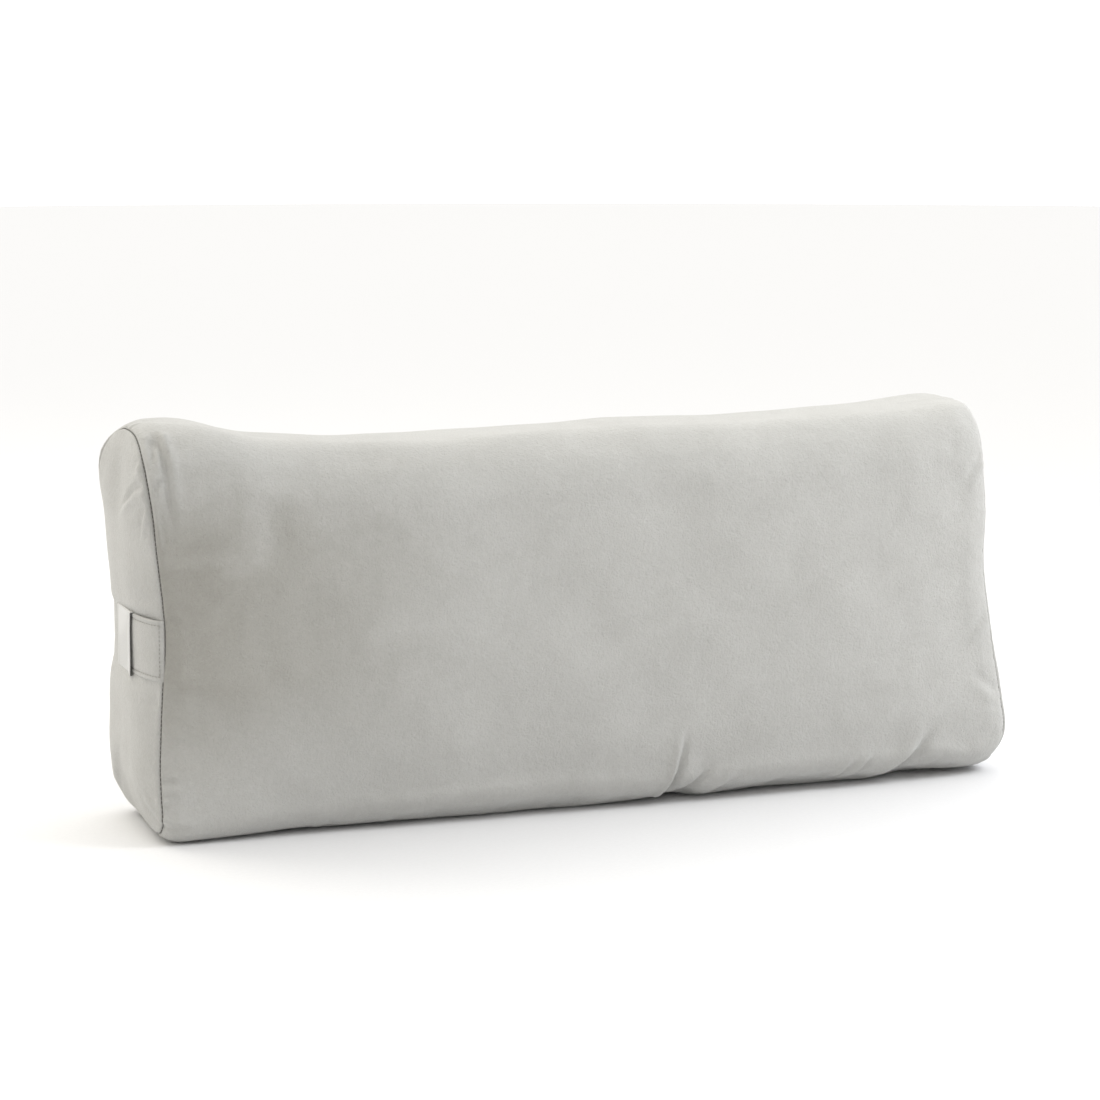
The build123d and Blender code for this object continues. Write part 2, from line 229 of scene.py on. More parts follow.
def wrap_form(x, counts, inset=0.0):
    """The wrap's points, an array of [place along X, place round the ring, xyz]."""
    y, z = ring(x, counts, inset)
    passes = sum(counts[0]) // 30
    y, z = smooth_rings(y, passes), smooth_rings(z, passes)
    x = x[:, None] * np.ones_like(y)
    along = np.abs(x) / SEAM_X
    share = (z - z.min(1)[:, None]) / (z.max(1) - z.min(1))[:, None]
    fullness = (1 - along**2.6) ** 0.9 * (FULL_DEPTH - BAND_DEPTH)
    front = 1 - np.abs(2 * share**0.8 - 1) ** 2.4
    back = ease(0.2, 0.5, share) * (1 - ease(0.72, 1, share))
    flat_side = ease(0.5, 0.9, np.abs(y) / SEAM_DEPTH)
    y = y + np.where(y < 0, -front, back) * fullness * flat_side
    tucked = (2 + 3 * ease(0.1, 0.24, x) - 7 * ease(0.2, 0.29, -x)) * MM
    y = y + tucked * ease(0.06, 0, z) * ease(0, -0.05, y)
    z = z + bottom_lift(x) * ease(0.04, 0, z) * ease(-0.015, -0.05, y)
    z = z + 2 * MM * (share > 0.5) * (1 - (y / SEAM_DEPTH) ** 2).clip(0)
    lean = np.where(x < 0, -left_lean(y, z), right_lean(z))
    x = x + lean * along**6
    return np.stack([x, y, z], 2)


def grid_normals(points):
    """Outward unit normals of a grid of rings."""
    along = np.gradient(points, axis=0)
    around = (np.roll(points, -1, 1) - np.roll(points, 1, 1)) / 2
    normals = np.cross(along, around)
    return normals / np.linalg.norm(normals, axis=2, keepdims=True).clip(1e-12)


def seam_ditch(points, normals, away, cleft):
    """Draws a panel's edge down into the seam, deeper and wider where cleft is 1. normals point out
    of the ditch, and away is each point's distance from the seam."""
    drop = (2 + 2.5 * cleft) * np.exp(-away / ((0.7 + 0.8 * cleft) * MM))
    lip = 0.2 * np.exp(-(((away / MM - 3.6) / 2.4) ** 2))
    return points - normals * ((drop - lip) * MM)[..., None]


def seam_cleft(rim, side):
    """1 where the upper left seam is drawn in to a cleft, and 0 elsewhere on a rim."""
    if side > 0:
        return np.zeros(len(rim))
    return ease(-0.03, -0.05, rim[:, 1]) * np.exp(-(((rim[:, 2] / MM - 238) / 27) ** 4))


def end_form(rim, steps, dome, side):
    """A domed end on a rim of points: an array of [step inward, place round the rim, xyz]. The
    last ring is a narrow loop, which closed_end fills."""
    low, high = rim[:, 2].min(), rim[:, 2].max()
    half = np.abs(rim[:, 1]).max()
    inward = 0.97 * (np.arange(steps + 1) / steps)[:, None] ** 1.7
    even = smooth_rings(rim.T, 24).T
    share = ease(0, 0.2, inward)[..., None]
    rows = rim * (1 - share) + even * share
    spine_z = np.clip(rows[..., 2], low + half, high - half)
    y = rows[..., 1] * (1 - inward)
    z = rows[..., 2] + (spine_z - rows[..., 2]) * inward
    middle_x = np.interp(spine_z, *spine_line(rim, half))
    x = rows[..., 0] + (middle_x - rows[..., 0]) * ease(0, 1, inward)
    swell = (1 - (1 - inward) ** 2.3) ** 0.74
    x = x + side * swell * dome(y, z)
    return np.stack([x, y, z], 2)


def spine_line(rim, half):
    """Heights, and the rim's mean X at each, for the middle of an end panel."""
    heights = np.linspace(rim[:, 2].min() + half, rim[:, 2].max() - half, 12)
    means = []
    for height in heights:
        near = np.exp(-(((rim[:, 2] - height) / (14 * MM)) ** 2))
        means.append((rim[:, 0] * near).sum() / near.sum())
    return heights, np.array(means)


def strap_hold(z):
    """1 where the strap crosses the left panel, and 0 away from it."""
    return np.exp(-((np.abs(z - STRAP_Z) / (23.5 * MM)) ** 12))


def left_dome(y, z):
    """The left panel swells less where the strap crosses it."""
    low_down = 1.2 * ease(0.10, 0.07, z)
    return (12.5 - 3.2 * strap_hold(z) - low_down) * MM * (1 - 0.5 * ease(0.17, 0.26, z))


def right_dome(y, z):
    return (11 - 5 * ease(0.08, 0.2, z)) * MM


# ---------------------------------------------------------------- meshes
def grid_faces(rows, around, flip=False):
    """Faces between neighbouring rings of a closed grid."""
    i, j = np.meshgrid(np.arange(rows - 1), np.arange(around), indexing="ij")
    k = (j + 1) % around
    quads = np.stack([i * around + j, i * around + k, (i + 1) * around + k, (i + 1) * around + j], 2)
    quads = quads.reshape(-1, 4)
    return quads[:, ::-1] if flip else quads


def closed_end(name, grid, front_count):
    """A mesh of an end panel, whose narrow middle is filled with triangles between its two sides."""
    rows, around = grid.shape[:2]
    start, heights = (rows - 1) * around, grid[-1, :, 2]
    front = list(range(front_count + 1))
    back = [0] + list(range(around - 1, front_count - 1, -1))
    faces = [tuple(face) for face in grid_faces(rows, around)]
    i = k = 0
    while i < len(front) - 1 or k < len(back) - 1:
        step_front = i < len(front) - 1 and (
            k == len(back) - 1 or heights[front[i + 1]] < heights[back[k + 1]])
        corners = (front[i], front[i + 1] if step_front else back[k + 1], back[k])
        if len(set(corners)) == 3:
            faces.append(tuple(start + corner for corner in corners))
        i, k = (i + 1, k) if step_front else (i, k + 1)
    return make_mesh(name, grid, faces)


def make_mesh(name, points, faces):
    mesh = bpy.data.meshes.new(name)
    mesh.from_pydata(np.asarray(points).reshape(-1, 3).tolist(), [], [list(map(int, f)) for f in faces])
    mesh.validate()
    mesh.update()
    return add_piece(name, mesh)


def add_piece(name, mesh):
    """A new object in the scene, with smooth shading."""
    mesh.polygons.foreach_set("use_smooth", [True] * len(mesh.polygons))
    piece = bpy.data.objects.new(name, mesh)
    bpy.context.scene.collection.objects.link(piece)
    return piece


def tube_faces(rows, around, flip=False):
    """The faces of a closed grid of rings, with a cap at each end."""
    caps = [tuple(range(around)), tuple(range((rows - 1) * around, rows * around))]
    caps[0 if flip else 1] = caps[0 if flip else 1][::-1]
    return [tuple(face) for face in grid_faces(rows, around, flip)] + caps


def weld(piece, distance=0.02 * MM):
    """Joins points that coincide, and turns every face outward, away from the cushion's middle."""
    work = bmesh.new()
    work.from_mesh(piece.data)
    bmesh.ops.remove_doubles(work, verts=work.verts, dist=distance)
    bmesh.ops.dissolve_degenerate(work, edges=work.edges, dist=distance / 4)
    bmesh.ops.recalc_face_normals(work, faces=work.faces)
    outward = sum(f.normal.dot(f.calc_center_median() - MIDDLE) * f.calc_area() for f in work.faces)
    if outward < 0:
        bmesh.ops.reverse_faces(work, faces=work.faces)
    work.to_mesh(piece.data)
    work.free()


def solidify(piece, thickness):
    """Gives cloth its thickness, inward."""
    modifier = piece.modifiers.new("thickness", "SOLIDIFY")
    modifier.thickness = thickness
    modifier.offset = -1
    apply_modifiers(piece)


def apply_modifiers(piece):
    graph = bpy.context.evaluated_depsgraph_get()
    final = bpy.data.meshes.new_from_object(piece.evaluated_get(graph), depsgraph=graph)
    piece.modifiers.clear()
    piece.data = final


# ---------------------------------------------------------------- folds and unevenness
def waves(points, seed, lengths, height):
    """Smooth unevenness at points: plane waves in seeded directions, of wavelengths in mm."""
    rng = np.random.default_rng(seed)
    total = np.zeros(points.shape[:-1])
    count = 14
    for _ in range(count):
        direction = rng.normal(size=3)
        direction *= 2 * math.pi / (np.linalg.norm(direction) * rng.uniform(*lengths) * MM)
        total += np.sin(points @ direction + rng.uniform(0, 2 * math.pi))
    return total * height * MM / math.sqrt(count / 2)


def smooth_way(route, count=40):
    """Evenly spaced points, in metres, on a smooth line through a route given in millimetres."""
    route = np.array(route, float) * MM
    spans = np.linalg.norm(np.diff(route, axis=0), axis=1)
    places = np.concatenate([[0], np.cumsum(spans)])
    fine = np.linspace(0, places[-1], count)
    if len(route) == 2:
        return np.stack([np.interp(fine, places, route[:, k]) for k in range(3)], 1)
    slopes = [np.gradient(route[:, k], places) for k in range(3)]
    return np.stack([bend(fine, places, route[:, k], slopes[k]) for k in range(3)], 1)


def fold(points, normals, route, width, ridge, valley, fade=0.5):
    """Heights along the normals for one fold. The route runs from the fold's strong end to its
    faint end; on the front, a route that climbs has its ridge on the left. All in millimetres."""
    way = smooth_way(route)
    width = width * MM
    reach = 4 * width
    near = np.all((points > way.min(0) - reach) & (points < way.max(0) + reach), axis=-1)
    gaps = points[near][:, None] - way
    k = (gaps**2).sum(2).argmin(1)
    gap = gaps[np.arange(len(k)), k]
    tangent = np.gradient(way, axis=0)
    tangent = (tangent / np.linalg.norm(tangent, axis=1, keepdims=True))[k]
    across = (gap * np.cross(normals[near], tangent)).sum(1) / width
    beyond = (gap * tangent).sum(1) / width
    along = k / (len(way) - 1)
    strength = ease(-0.02, 0.12, along) * (1 - ease(fade, 1, along)) * np.exp(-(beyond**2))
    profile = ridge * np.exp(-((across - 0.8) ** 2)) - valley * np.exp(-((across + 0.8) ** 2) * 1.6)
    heights = np.zeros(points.shape[:-1])
    heights[near] = profile * strength * MM
    return heights


# Folds on the front, each as route, width, ridge, valley; all in millimetres.
FRONT_FOLDS = [
    # crumples at the top of the upper left seam, and a branch of its cleft
    ([(-306, -34, 278), (-309, -46, 274), (-311, -53, 266), (-312, -55, 256)], 3.0, 0.6, 2.6),
    ([(-300, -30, 279), (-303, -42, 276), (-306, -50, 272)], 2.2, 1.0, 1.2),
    ([(-316, -62, 243), (-313, -62, 249), (-308, -62, 257)], 1.6, 0.9, 1.4),
    # the long upright ridges beside it, each with its valley on the right
    ([(-306, -28, 284), (-304, -44, 280), (-302, -58, 266), (-301, -65, 244), (-297, -68, 206)],
     3.2, 2.3, 3.6),
    ([(-308, -64, 204), (-310, -63, 222), (-312, -62, 240)], 2.2, 1.0, 1.0),
    # puckers from the left seam, from the strap downwards
    ([(-308, -62, 156), (-300, -66, 156), (-293, -68, 155)], 1.7, 0.9, 0.9),
    ([(-306, -63, 106), (-297, -66, 107), (-286, -68, 106)], 2.0, 0.8, 1.0),
    ([(-312, -62, 75), (-299, -66, 72), (-284, -68, 68)], 2.2, 0.9, 1.0),
    ([(-312, -62, 48), (-303, -65, 46), (-298, -66, 45)], 1.8, 0.8, 1.0),
    ([(-312, -62, 38), (-301, -65, 36), (-294, -66, 34)], 1.8, 0.9, 1.0),
    ([(-312, -62, 29), (-303, -64, 30), (-296, -65, 32)], 1.8, 1.2, 1.6),
    ([(-312, -58, 18), (-300, -61, 15), (-286, -60, 14)], 2.2, 1.2, 1.4),
    # folds that rise from the bottom edge
    ([(50, -50, 2), (56, -62, 12), (61, -67, 28), (64, -69, 46), (66, -70, 62)], 3.0, 3.0, 4.4),
    ([(62, -50, 2), (70, -62, 12), (76, -67, 28), (80, -69, 44)], 7.5, 0.4, 2.8),
    ([(64, -50, 2), (74, -61, 12), (83, -66, 24), (91, -69, 36)], 2.6, 1.5, 1.9),
    ([(90, -50, 2), (101, -62, 14), (113, -67, 26)], 3.4, 1.3, 1.6),
    ([(138, -50, 2), (147, -63, 16)], 3.4, 1.0, 1.2),
    ([(184, -50, 2), (195, -62, 12), (205, -67, 25)], 2.4, 2.2, 2.6),
    ([(196, -50, 2), (209, -63, 14), (220, -67, 30)], 2.5, 2.6, 2.8),
    ([(230, -50, 2), (245, -61, 14), (256, -66, 30), (264, -68, 48)], 5.5, 2.2, 4.8),
    ([(268, -50, 2), (274, -61, 12), (279, -66, 24)], 3.0, 1.2, 1.6),
    ([(-32, -50, 2), (-24, -63, 20)], 2.8, 1.1, 1.3),
    ([(-20, -50, 2), (-10, -64, 22)], 2.8, 1.1, 1.3),
    ([(-76, -50, 2), (-64, -62, 15)], 3.6, 0.9, 1.0),
    ([(-150, -50, 2), (-143, -63, 18)], 4.6, 0.8, 0.8),
    ([(-198, -50, 2), (-192, -63, 18)], 4.6, 0.8, 0.8),
    # the small tick on the face, and the soft dents at the right seam
    ([(212, -74, 149), (222, -74, 155)], 1.6, 0.3, 0.4),
    ([(309, -58, 240), (301, -66, 230), (288, -69, 214)], 4.0, 1.0, 1.3),
    ([(314, -60, 122), (306, -65, 114), (292, -69, 102)], 4.0, 1.0, 1.2),
    ([(322, -60, 60), (311, -66, 68), (294, -69, 82)], 4.6, 1.0, 1.2),
]
# Folds on the left end panel.
LEFT_FOLDS = [
    ([(-322, -57, 244), (-324, -40, 241), (-325, -22, 232), (-325, 2, 220)], 3.4, 1.2, 2.0),
    ([(-316, -50, 270), (-319, -42, 262), (-321, -34, 250)], 3.4, 1.2, 1.6),
    ([(-320, -56, 232), (-323, -48, 222), (-324, -42, 206)], 3.0, 0.7, 1.1),
    ([(-319, -27, 280), (-323, -27, 268)], 3.0, 0.6, 1.2),
    ([(-318, -57, 212), (-321, -48, 209)], 2.2, 0.6, 0.9),
    ([(-314, -58, 166), (-318, -30, 163), (-319, 0, 163)], 3.4, 0.8, 0.5),
    ([(-314, -58, 96), (-318, -44, 94)], 3.0, 0.6, 0.8),
    ([(-314, -58, 54), (-320, -46, 60)], 2.6, 0.6, 0.8),
    ([(-314, -56, 28), (-320, -44, 34)], 2.6, 0.7, 0.9),
    ([(-312, 50, 20), (-320, 30, 40)], 4.0, 0.7, 1.0),
]


PUCKER_ROWS = 16  # how many rows of points a pucker may cross


def front_folds(points, normals):
    return sum(fold(points, normals, *one) for one in FRONT_FOLDS)


def seam_puckers(points, normals, seed):
    """Small puckers that the stitching draws across both seams, at seeded places round the rims."""
    rng = np.random.default_rng(seed)
    heights = np.zeros(points.shape[:-1])
    around = points.shape[1]
    for rim, inner in ((points[0], points[PUCKER_ROWS]), (points[-1], points[-1 - PUCKER_ROWS])):
        j = int(rng.integers(4, 9))
        while j < around:
            start = rim[j] / MM
            across = inner[(j + rng.integers(-3, 4)) % around] / MM - start
            route = [start, start + across * rng.uniform(0.5, 1.2)]
            size = rng.uniform(0.2, 0.6)
            heights += fold(points, normals, route, rng.uniform(1.6, 2.6), size, size, 0.2)
            j += int(rng.integers(5, 12))
    return heights


# ---------------------------------------------------------------- the cloth simulation
SIM_FRAMES = 20
SIM_ROWS = 113
SIM_CAP = 1.0 * MM
CLOTH = {
    "quality": 5,
    "mass": 0.15,
    "tension_stiffness": 15,
    "compression_stiffness": 10,
    "shear_stiffness": 4,
    "bending_stiffness": 0.3,
    "vertex_group_mass": "hold",
    "pin_stiffness": 1,
    "vertex_group_shrink": "slack",
    "shrink_min": -0.004,
    "shrink_max": -0.06,
    "use_pressure": True,
    "uniform_pressure_force": 1.5,
}


def simulated_heights(x):
    """Heights along the normals of the wrinkles that slack cloth takes over the stuffing. A coarse
    wrap is sewn at its rims, cut a little too large near them and along the bottom, blown up by the
    stuffing and eased back to its form by soft springs."""
    coarse_x = np.linspace(-SEAM_X, SEAM_X, SIM_ROWS)
    coarse = wrap_form(coarse_x, HALF_COUNTS)
    rows, around = coarse.shape[:2]
    piece = make_mesh("cloth", coarse, grid_faces(rows, around))
    edge = np.repeat(np.minimum(np.arange(rows), np.arange(rows)[::-1]), around)
    y, z = coarse[..., 1].ravel(), coarse[..., 2].ravel()
    band = np.exp(-(((z - ZIP_Z) / (20 * MM)) ** 4)) * (y > 0.03)
    resting = 0.3 * (z < 3 * MM)
    weights = {
        "hold": np.clip(0.05 + band + resting + (edge == 0), 0, 1),
        "slack": np.clip(np.exp(-edge / 5) + 0.5 * ease(0.05, 0.01, z), 0, 1) * (1 - band),
    }
    for name, values in weights.items():
        group = piece.vertex_groups.new(name=name)
        for index, value in enumerate(values):
            group.add([index], float(value), "REPLACE")
    cloth = piece.modifiers.new("cloth", "CLOTH")
    for name, value in CLOTH.items():
        setattr(cloth.settings, name, value)
    cloth.settings.effector_weights.gravity = 0
    cloth.point_cache.frame_start = 1
    cloth.point_cache.frame_end = SIM_FRAMES
    for number in range(1, SIM_FRAMES + 1):
        bpy.context.scene.frame_set(number)
    final = piece.evaluated_get(bpy.context.evaluated_depsgraph_get()).to_mesh()
    moved = np.zeros(len(final.vertices) * 3)
    final.vertices.foreach_get("co", moved)
    bpy.context.scene.frame_set(1)
    bpy.data.objects.remove(piece)
    heights = ((moved.reshape(coarse.shape) - coarse) * grid_normals(coarse)).sum(2)
    heights = heights - blur(heights, 18)
    heights = SIM_CAP * np.tanh(heights / SIM_CAP)
    near_seam = 0.25 + 0.45 * np.exp(-((SEAM_X - np.abs(coarse_x)) / (55 * MM)))[:, None]
    low_down = ease(0.07, 0.02, coarse[..., 2])
    heights *= np.maximum(near_seam, low_down) * ease(0, 10 * MM, SEAM_X - np.abs(coarse_x))[:, None]
    fine = np.zeros((rows, 2 * around))
    fine[:, ::2] = heights
    fine[:, 1::2] = (heights + np.roll(heights, -1, 1)) / 2
    return np.stack([np.interp(x, coarse_x, line) for line in fine.T], 1)


def blur(a, passes):
    """Spreads values over a grid of rings."""
    for _ in range(passes):
        a = (np.roll(a, 1, 1) + 2 * a + np.roll(a, -1, 1)) / 4
        longer = np.concatenate([a[:1], a, a[-1:]])
        a = (longer[:-2] + 2 * a + longer[2:]) / 4
    return a


# ---------------------------------------------------------------- the cover
FRONT_COUNTS = (8, 20, 8, 6, 70, 24, 10)
BACK_COUNTS = (6, 12, 4, 4, 36, 12, 8)
COUNTS = (FRONT_COUNTS, BACK_COUNTS)
HALF_COUNTS = tuple(tuple(n // 2 for n in side) for side in COUNTS)
BUSY = ((52, 24), (90, 20), (200, 26), (246, 18))
COVER_ROWS = 194
END_STEPS = 36
SEAM_TILT = 0.8  # how far the seam's ditch leans towards the ends: 1 is half-way


def cover_places():
    """Places along X for the cover's rows, with a row at each end of the zip's slot."""
    x = lengths_along(COVER_ROWS, *BUSY)
    for side in (-1, 1):
        x[np.abs(x - side * SLOT_HALF_LENGTH).argmin()] = side * SLOT_HALF_LENGTH
    return x


def zip_band(points):
    """1 on the flat band that holds the zip, and 0 away from it."""
    return np.exp(-(((points[..., 2] - ZIP_Z) / (22 * MM)) ** 4)) * (points[..., 1] > 0.03)


def rear_bulge(x, form):
    """How far the back stands out past the upper left seam."""
    away = (x + SEAM_X)[:, None] / MM
    roll = (1 - np.exp(-((away / 2.5) ** 2))) * np.exp(-((away / 9) ** 2))
    return 6.5 * MM * roll * ease(0.02, 0.05, form[..., 1]) * ease(0.18, 0.225, form[..., 2])


def row_lengths(rows):
    """How far each point of a grid is from its first row, along the grid."""
    spans = np.linalg.norm(np.diff(rows, axis=0), axis=2)
    return np.concatenate([np.zeros((1, rows.shape[1])), np.cumsum(spans, 0)])


def cover_forms():
    """The wrap and both ends, with folds, wrinkles and seam ditches, as grids of points."""
    x = cover_places()
    form = wrap_form(x, COUNTS)
    normals = grid_normals(form)
    heights = front_folds(form, normals)
    heights += seam_puckers(form, normals, seed=3)
    heights += waves(form, 7, (45, 120), 0.45) * (1 - zip_band(form))
    heights += simulated_heights(x)
    wrap = form + normals * heights[..., None]
    wrap[..., 0] -= rear_bulge(x, form)
    wrap[..., 2] = np.maximum(wrap[..., 2], 0.3 * MM)
    ends = []
    for side, edge, dome in ((-1, 0, left_dome), (1, -1, right_dome)):
        end = end_form(wrap[edge], END_STEPS, dome, side)
        outward = np.zeros_like(end) + (side, 0, 0)
        lengths = row_lengths(end)
        rise = waves(end, 11 + side, (30, 80), 0.5)
        if side < 0:
            rise *= 1 - strap_hold(end[..., 2])
            rise += sum(fold(end, outward, *one) for one in LEFT_FOLDS)
        end = end + outward * (rise * ease(0, 6 * MM, lengths))[..., None]
        upright = unit(smooth_rings(normals[edge].T, 6).T * (0, 1, 1))
        rim_normals = unit(upright + (SEAM_TILT * side, 0, 0))
        cleft = seam_cleft(wrap[edge], side)
        ends.append(seam_ditch(end, rim_normals, lengths, cleft))
        beside = x * side > 0
        away = (SEAM_X - np.abs(x[beside]))[:, None] * np.ones(form.shape[1])
        wrap[beside] = seam_ditch(wrap[beside], rim_normals, away, cleft)
    return x, wrap, ends


# ---------------------------------------------------------------- materials
class Tree:
    """A node tree, with short ways to add to it. place is where the textures are laid out."""

    def __init__(self, tree, coordinates):
        self.tree = tree
        self.place = self.add("ShaderNodeTexCoord").outputs[coordinates]

    def add(self, kind, **settings):
        node = self.tree.nodes.new(kind)
        for name, value in settings.items():
            setattr(node, name, value)
        return node

    def link(self, source, target):
        self.tree.links.new(source, target)

    def noise(self, size, detail=2, roughness=0.5, stretch=None, distortion=0):
        """A noise whose grains are about size millimetres."""
        node = self.add("ShaderNodeTexNoise")
        node.inputs["Scale"].default_value = 1000 / size
        node.inputs["Detail"].default_value = detail
        node.inputs["Roughness"].default_value = roughness
        node.inputs["Distortion"].default_value = distortion
        self.link(self.stretched(stretch), node.inputs["Vector"])
        return node.outputs["Fac"]

    def split(self):
        """The X, Y and Z of each place."""
        node = self.add("ShaderNodeSeparateXYZ")
        self.link(self.place, node.inputs[0])
        return node.outputs["X"], node.outputs["Y"], node.outputs["Z"]

    def stretched(self, stretch):
        if stretch is None:
            return self.place
        node = self.add("ShaderNodeMapping")
        node.inputs["Scale"].default_value = stretch
        self.link(self.place, node.inputs["Vector"])
        return node.outputs["Vector"]

    def spread(self, value, low, high, out_low=0.0, out_high=1.0):
        """Takes low to out_low and high to out_high."""
        node = self.add("ShaderNodeMapRange")
        for name, number in zip(("From Min", "From Max", "To Min", "To Max"), (low, high, out_low, out_high)):
            node.inputs[name].default_value = number
        self.link(value, node.inputs["Value"])
        return node.outputs["Result"]

    def maths(self, operation, a, b):
        node = self.add("ShaderNodeMath", operation=operation)
        for socket, value in zip(node.inputs, (a, b)):
            if isinstance(value, (int, float)):
                socket.default_value = value
            else:
                self.link(value, socket)
        return node.outputs["Value"]

    def blend(self, share, first, second):
        """The first colour where share is 0, and the second where it is 1."""
        node = self.add("ShaderNodeMix", data_type="RGBA")
        sockets = [s for s in node.inputs if s.enabled]
        self.link(share, sockets[0])
        for socket, colour in zip(sockets[1:3], (first, second)):
            if isinstance(colour, tuple):
                socket.default_value = (*colour, 1)
            else:
                self.link(colour, socket)
        return next(s for s in node.outputs if s.enabled)

    def times(self, first, second):
        """Two colours multiplied."""
        node = self.add("ShaderNodeMix", data_type="RGBA", blend_type="MULTIPLY")
        sockets = [s for s in node.inputs if s.enabled]
        sockets[0].default_value = 1
        self.link(first, sockets[1])
        self.link(second, sockets[2])
        return next(s for s in node.outputs if s.enabled)

    def bump(self, height, depth, strength=1.0, under=None):
        """A bump of depth millimetres."""
        node = self.add("ShaderNodeBump")
        node.inputs["Strength"].default_value = strength
        node.inputs["Distance"].default_value = depth * MM
        self.link(height, node.inputs["Height"])
        if under is not None:
            self.link(under, node.inputs["Normal"])
        return node.outputs["Normal"]


class Nodes(Tree):
    """A new material and its tree."""

    def __init__(self, name):
        self.material = bpy.data.materials.new(name)
        self.material.use_nodes = True
        super().__init__(self.material.node_tree, "Object")
        self.shader = self.tree.nodes["Principled BSDF"]

    def finish(self, colour, normal=None, roughness=0.9, **fixed):
        self.link(colour, self.shader.inputs["Base Color"])
        if normal is not None:
            self.link(normal, self.shader.inputs["Normal"])
        if isinstance(roughness, float):
            self.shader.inputs["Roughness"].default_value = roughness
        else:
            self.link(roughness, self.shader.inputs["Roughness"])
        for name, value in fixed.items():
            self.shader.inputs[name.replace("_", " ")].default_value = value
        return self.material


SUEDE_LIGHT, SUEDE_DARK = (0.55, 0.547, 0.528), (0.42, 0.416, 0.396)


def suede_material(name, light, dark, nap_and_shade_left=False):
    """Microfibre suede: a short nap with soft patches, a pebbly grain and a fine speckle. The wrap's
    suede also has painted shade over the front's left part, darker and warmer where it turns from the light,
    partly also a real nap laid the other way."""
    n = Nodes(name)
    patches = n.noise(60, 3, 0.55, distortion=0.8)
    streaks = n.noise(22, 3, 0.6, distortion=1.2)
    speckle = n.noise(1.0, 2, 0.7)
    grain = n.noise(2.8, 3, 0.7, distortion=0.5)
    nap = n.maths("ADD", n.spread(patches, 0.3, 0.7, 0, 0.6), n.spread(streaks, 0.3, 0.7, 0, 0.4))
    fine = n.maths("ADD", n.spread(speckle, 0.25, 0.75, 0, 0.5), n.spread(grain, 0.3, 0.7, 0, 0.5))
    share = n.maths("ADD", n.maths("MULTIPLY", nap, 0.45), n.maths("MULTIPLY", fine, 0.55))
    colour = n.blend(share, dark, light)
    if nap_and_shade_left:
        # Painted shade: the front's left part, which turns away from the light, is darkened and warmed;
        # partly it is also a real nap laid the other way.
        x, y, z = n.split()
        wander = n.spread(patches, 0.3, 0.7, -0.02, 0.02)
        left = n.spread(n.maths("ADD", x, wander), -0.29, -0.10, 1, 0)
        front = n.spread(y, -0.02, -0.06, 0, 1)
        height = n.maths("ADD", z, wander)
        middle = n.maths("MULTIPLY", n.spread(height, 0.265, 0.19, 0, 1), n.spread(height, 0.04, 0.11, 0, 1))
        nap_and_shade_share = n.maths("MULTIPLY", n.maths("MULTIPLY", left, front), middle)
        colour = n.times(colour, n.blend(nap_and_shade_share, (1, 1, 1), (0.74, 0.725, 0.69)))
    normal = n.bump(n.noise(1.3, 2, 0.7), 0.5, 1.0)
    normal = n.bump(n.noise(2.8, 3, 0.7, distortion=0.5), 0.9, 0.75, under=normal)
    roughness = n.spread(nap, 0, 1, 0.82, 0.95)
    return n.finish(colour, normal, roughness, Sheen_Weight=0.35, Sheen_Roughness=0.45,
                    Specular_IOR_Level=0.25)


def thread_material(name, colour):
    """Spun polyester thread: two plies that twist round each other."""
    n = Nodes(name)
    twist = n.add("ShaderNodeTexWave", wave_type="BANDS", bands_direction="DIAGONAL")
    twist.inputs["Scale"].default_value = 900
    n.link(n.place, twist.inputs["Vector"])
    fuzz = n.noise(0.25, 2)
    share = n.maths("MULTIPLY", twist.outputs["Fac"], fuzz)
    pale = tuple(min(1, c * 1.25) for c in colour)
    normal = n.bump(twist.outputs["Fac"], 0.12, 0.7)
    return n.finish(n.blend(share, colour, pale), normal, 0.75, Sheen_Weight=0.25, Specular_IOR_Level=0.35)


def woven(n, pitch):
    """The heights of a plain weave: threads along X and along Z that pass over each other."""
    warp = n.add("ShaderNodeTexWave", wave_type="BANDS", bands_direction="X")
    weft = n.add("ShaderNodeTexWave", wave_type="BANDS", bands_direction="Z")
    for wave in (warp, weft):
        wave.inputs["Scale"].default_value = 1000 / pitch / 3.2
        wave.inputs["Distortion"].default_value = 0.4
        wave.inputs["Detail Scale"].default_value = 400
        n.link(n.place, wave.inputs["Vector"])
    return n.maths("MAXIMUM", warp.outputs["Fac"], weft.outputs["Fac"])


def weave_material(name, light, dark, pitch):
    """Plain woven cloth with a thread every pitch millimetres."""
    n = Nodes(name)
    threads = woven(n, pitch)
    slubs = n.noise(9, 3, 0.6, stretch=(0.25, 1, 1))
    share = n.maths("MULTIPLY", threads, n.spread(slubs, 0.3, 0.7, 0.7, 1))
    normal = n.bump(threads, 0.15, 0.6)
    return n.finish(n.blend(share, dark, light), normal, n.spread(slubs, 0.3, 0.7, 0.7, 0.85),
                    Sheen_Weight=0.15)


def label_material():
    """A pale woven label, with a narrow darker border along its two cut edges."""
    n = Nodes("label_weave")
    threads = woven(n, 0.4)
    from_edge = n.maths("SUBTRACT", LABEL_HALF, n.maths("ABSOLUTE", n.split()[1], 0))
    inside = n.spread(from_edge, 0.0016, 0.0020)
    outside = n.spread(from_edge, 0.0034, 0.0030)
    border = n.maths("MULTIPLY", inside, outside)
    pale = n.blend(threads, (0.50, 0.50, 0.49), (0.62, 0.62, 0.61))
    colour = n.blend(n.maths("MULTIPLY", border, 0.6), pale, (0.45, 0.445, 0.42))
    return n.finish(colour, n.bump(threads, 0.1, 0.6), 0.6, Sheen_Weight=0.2)


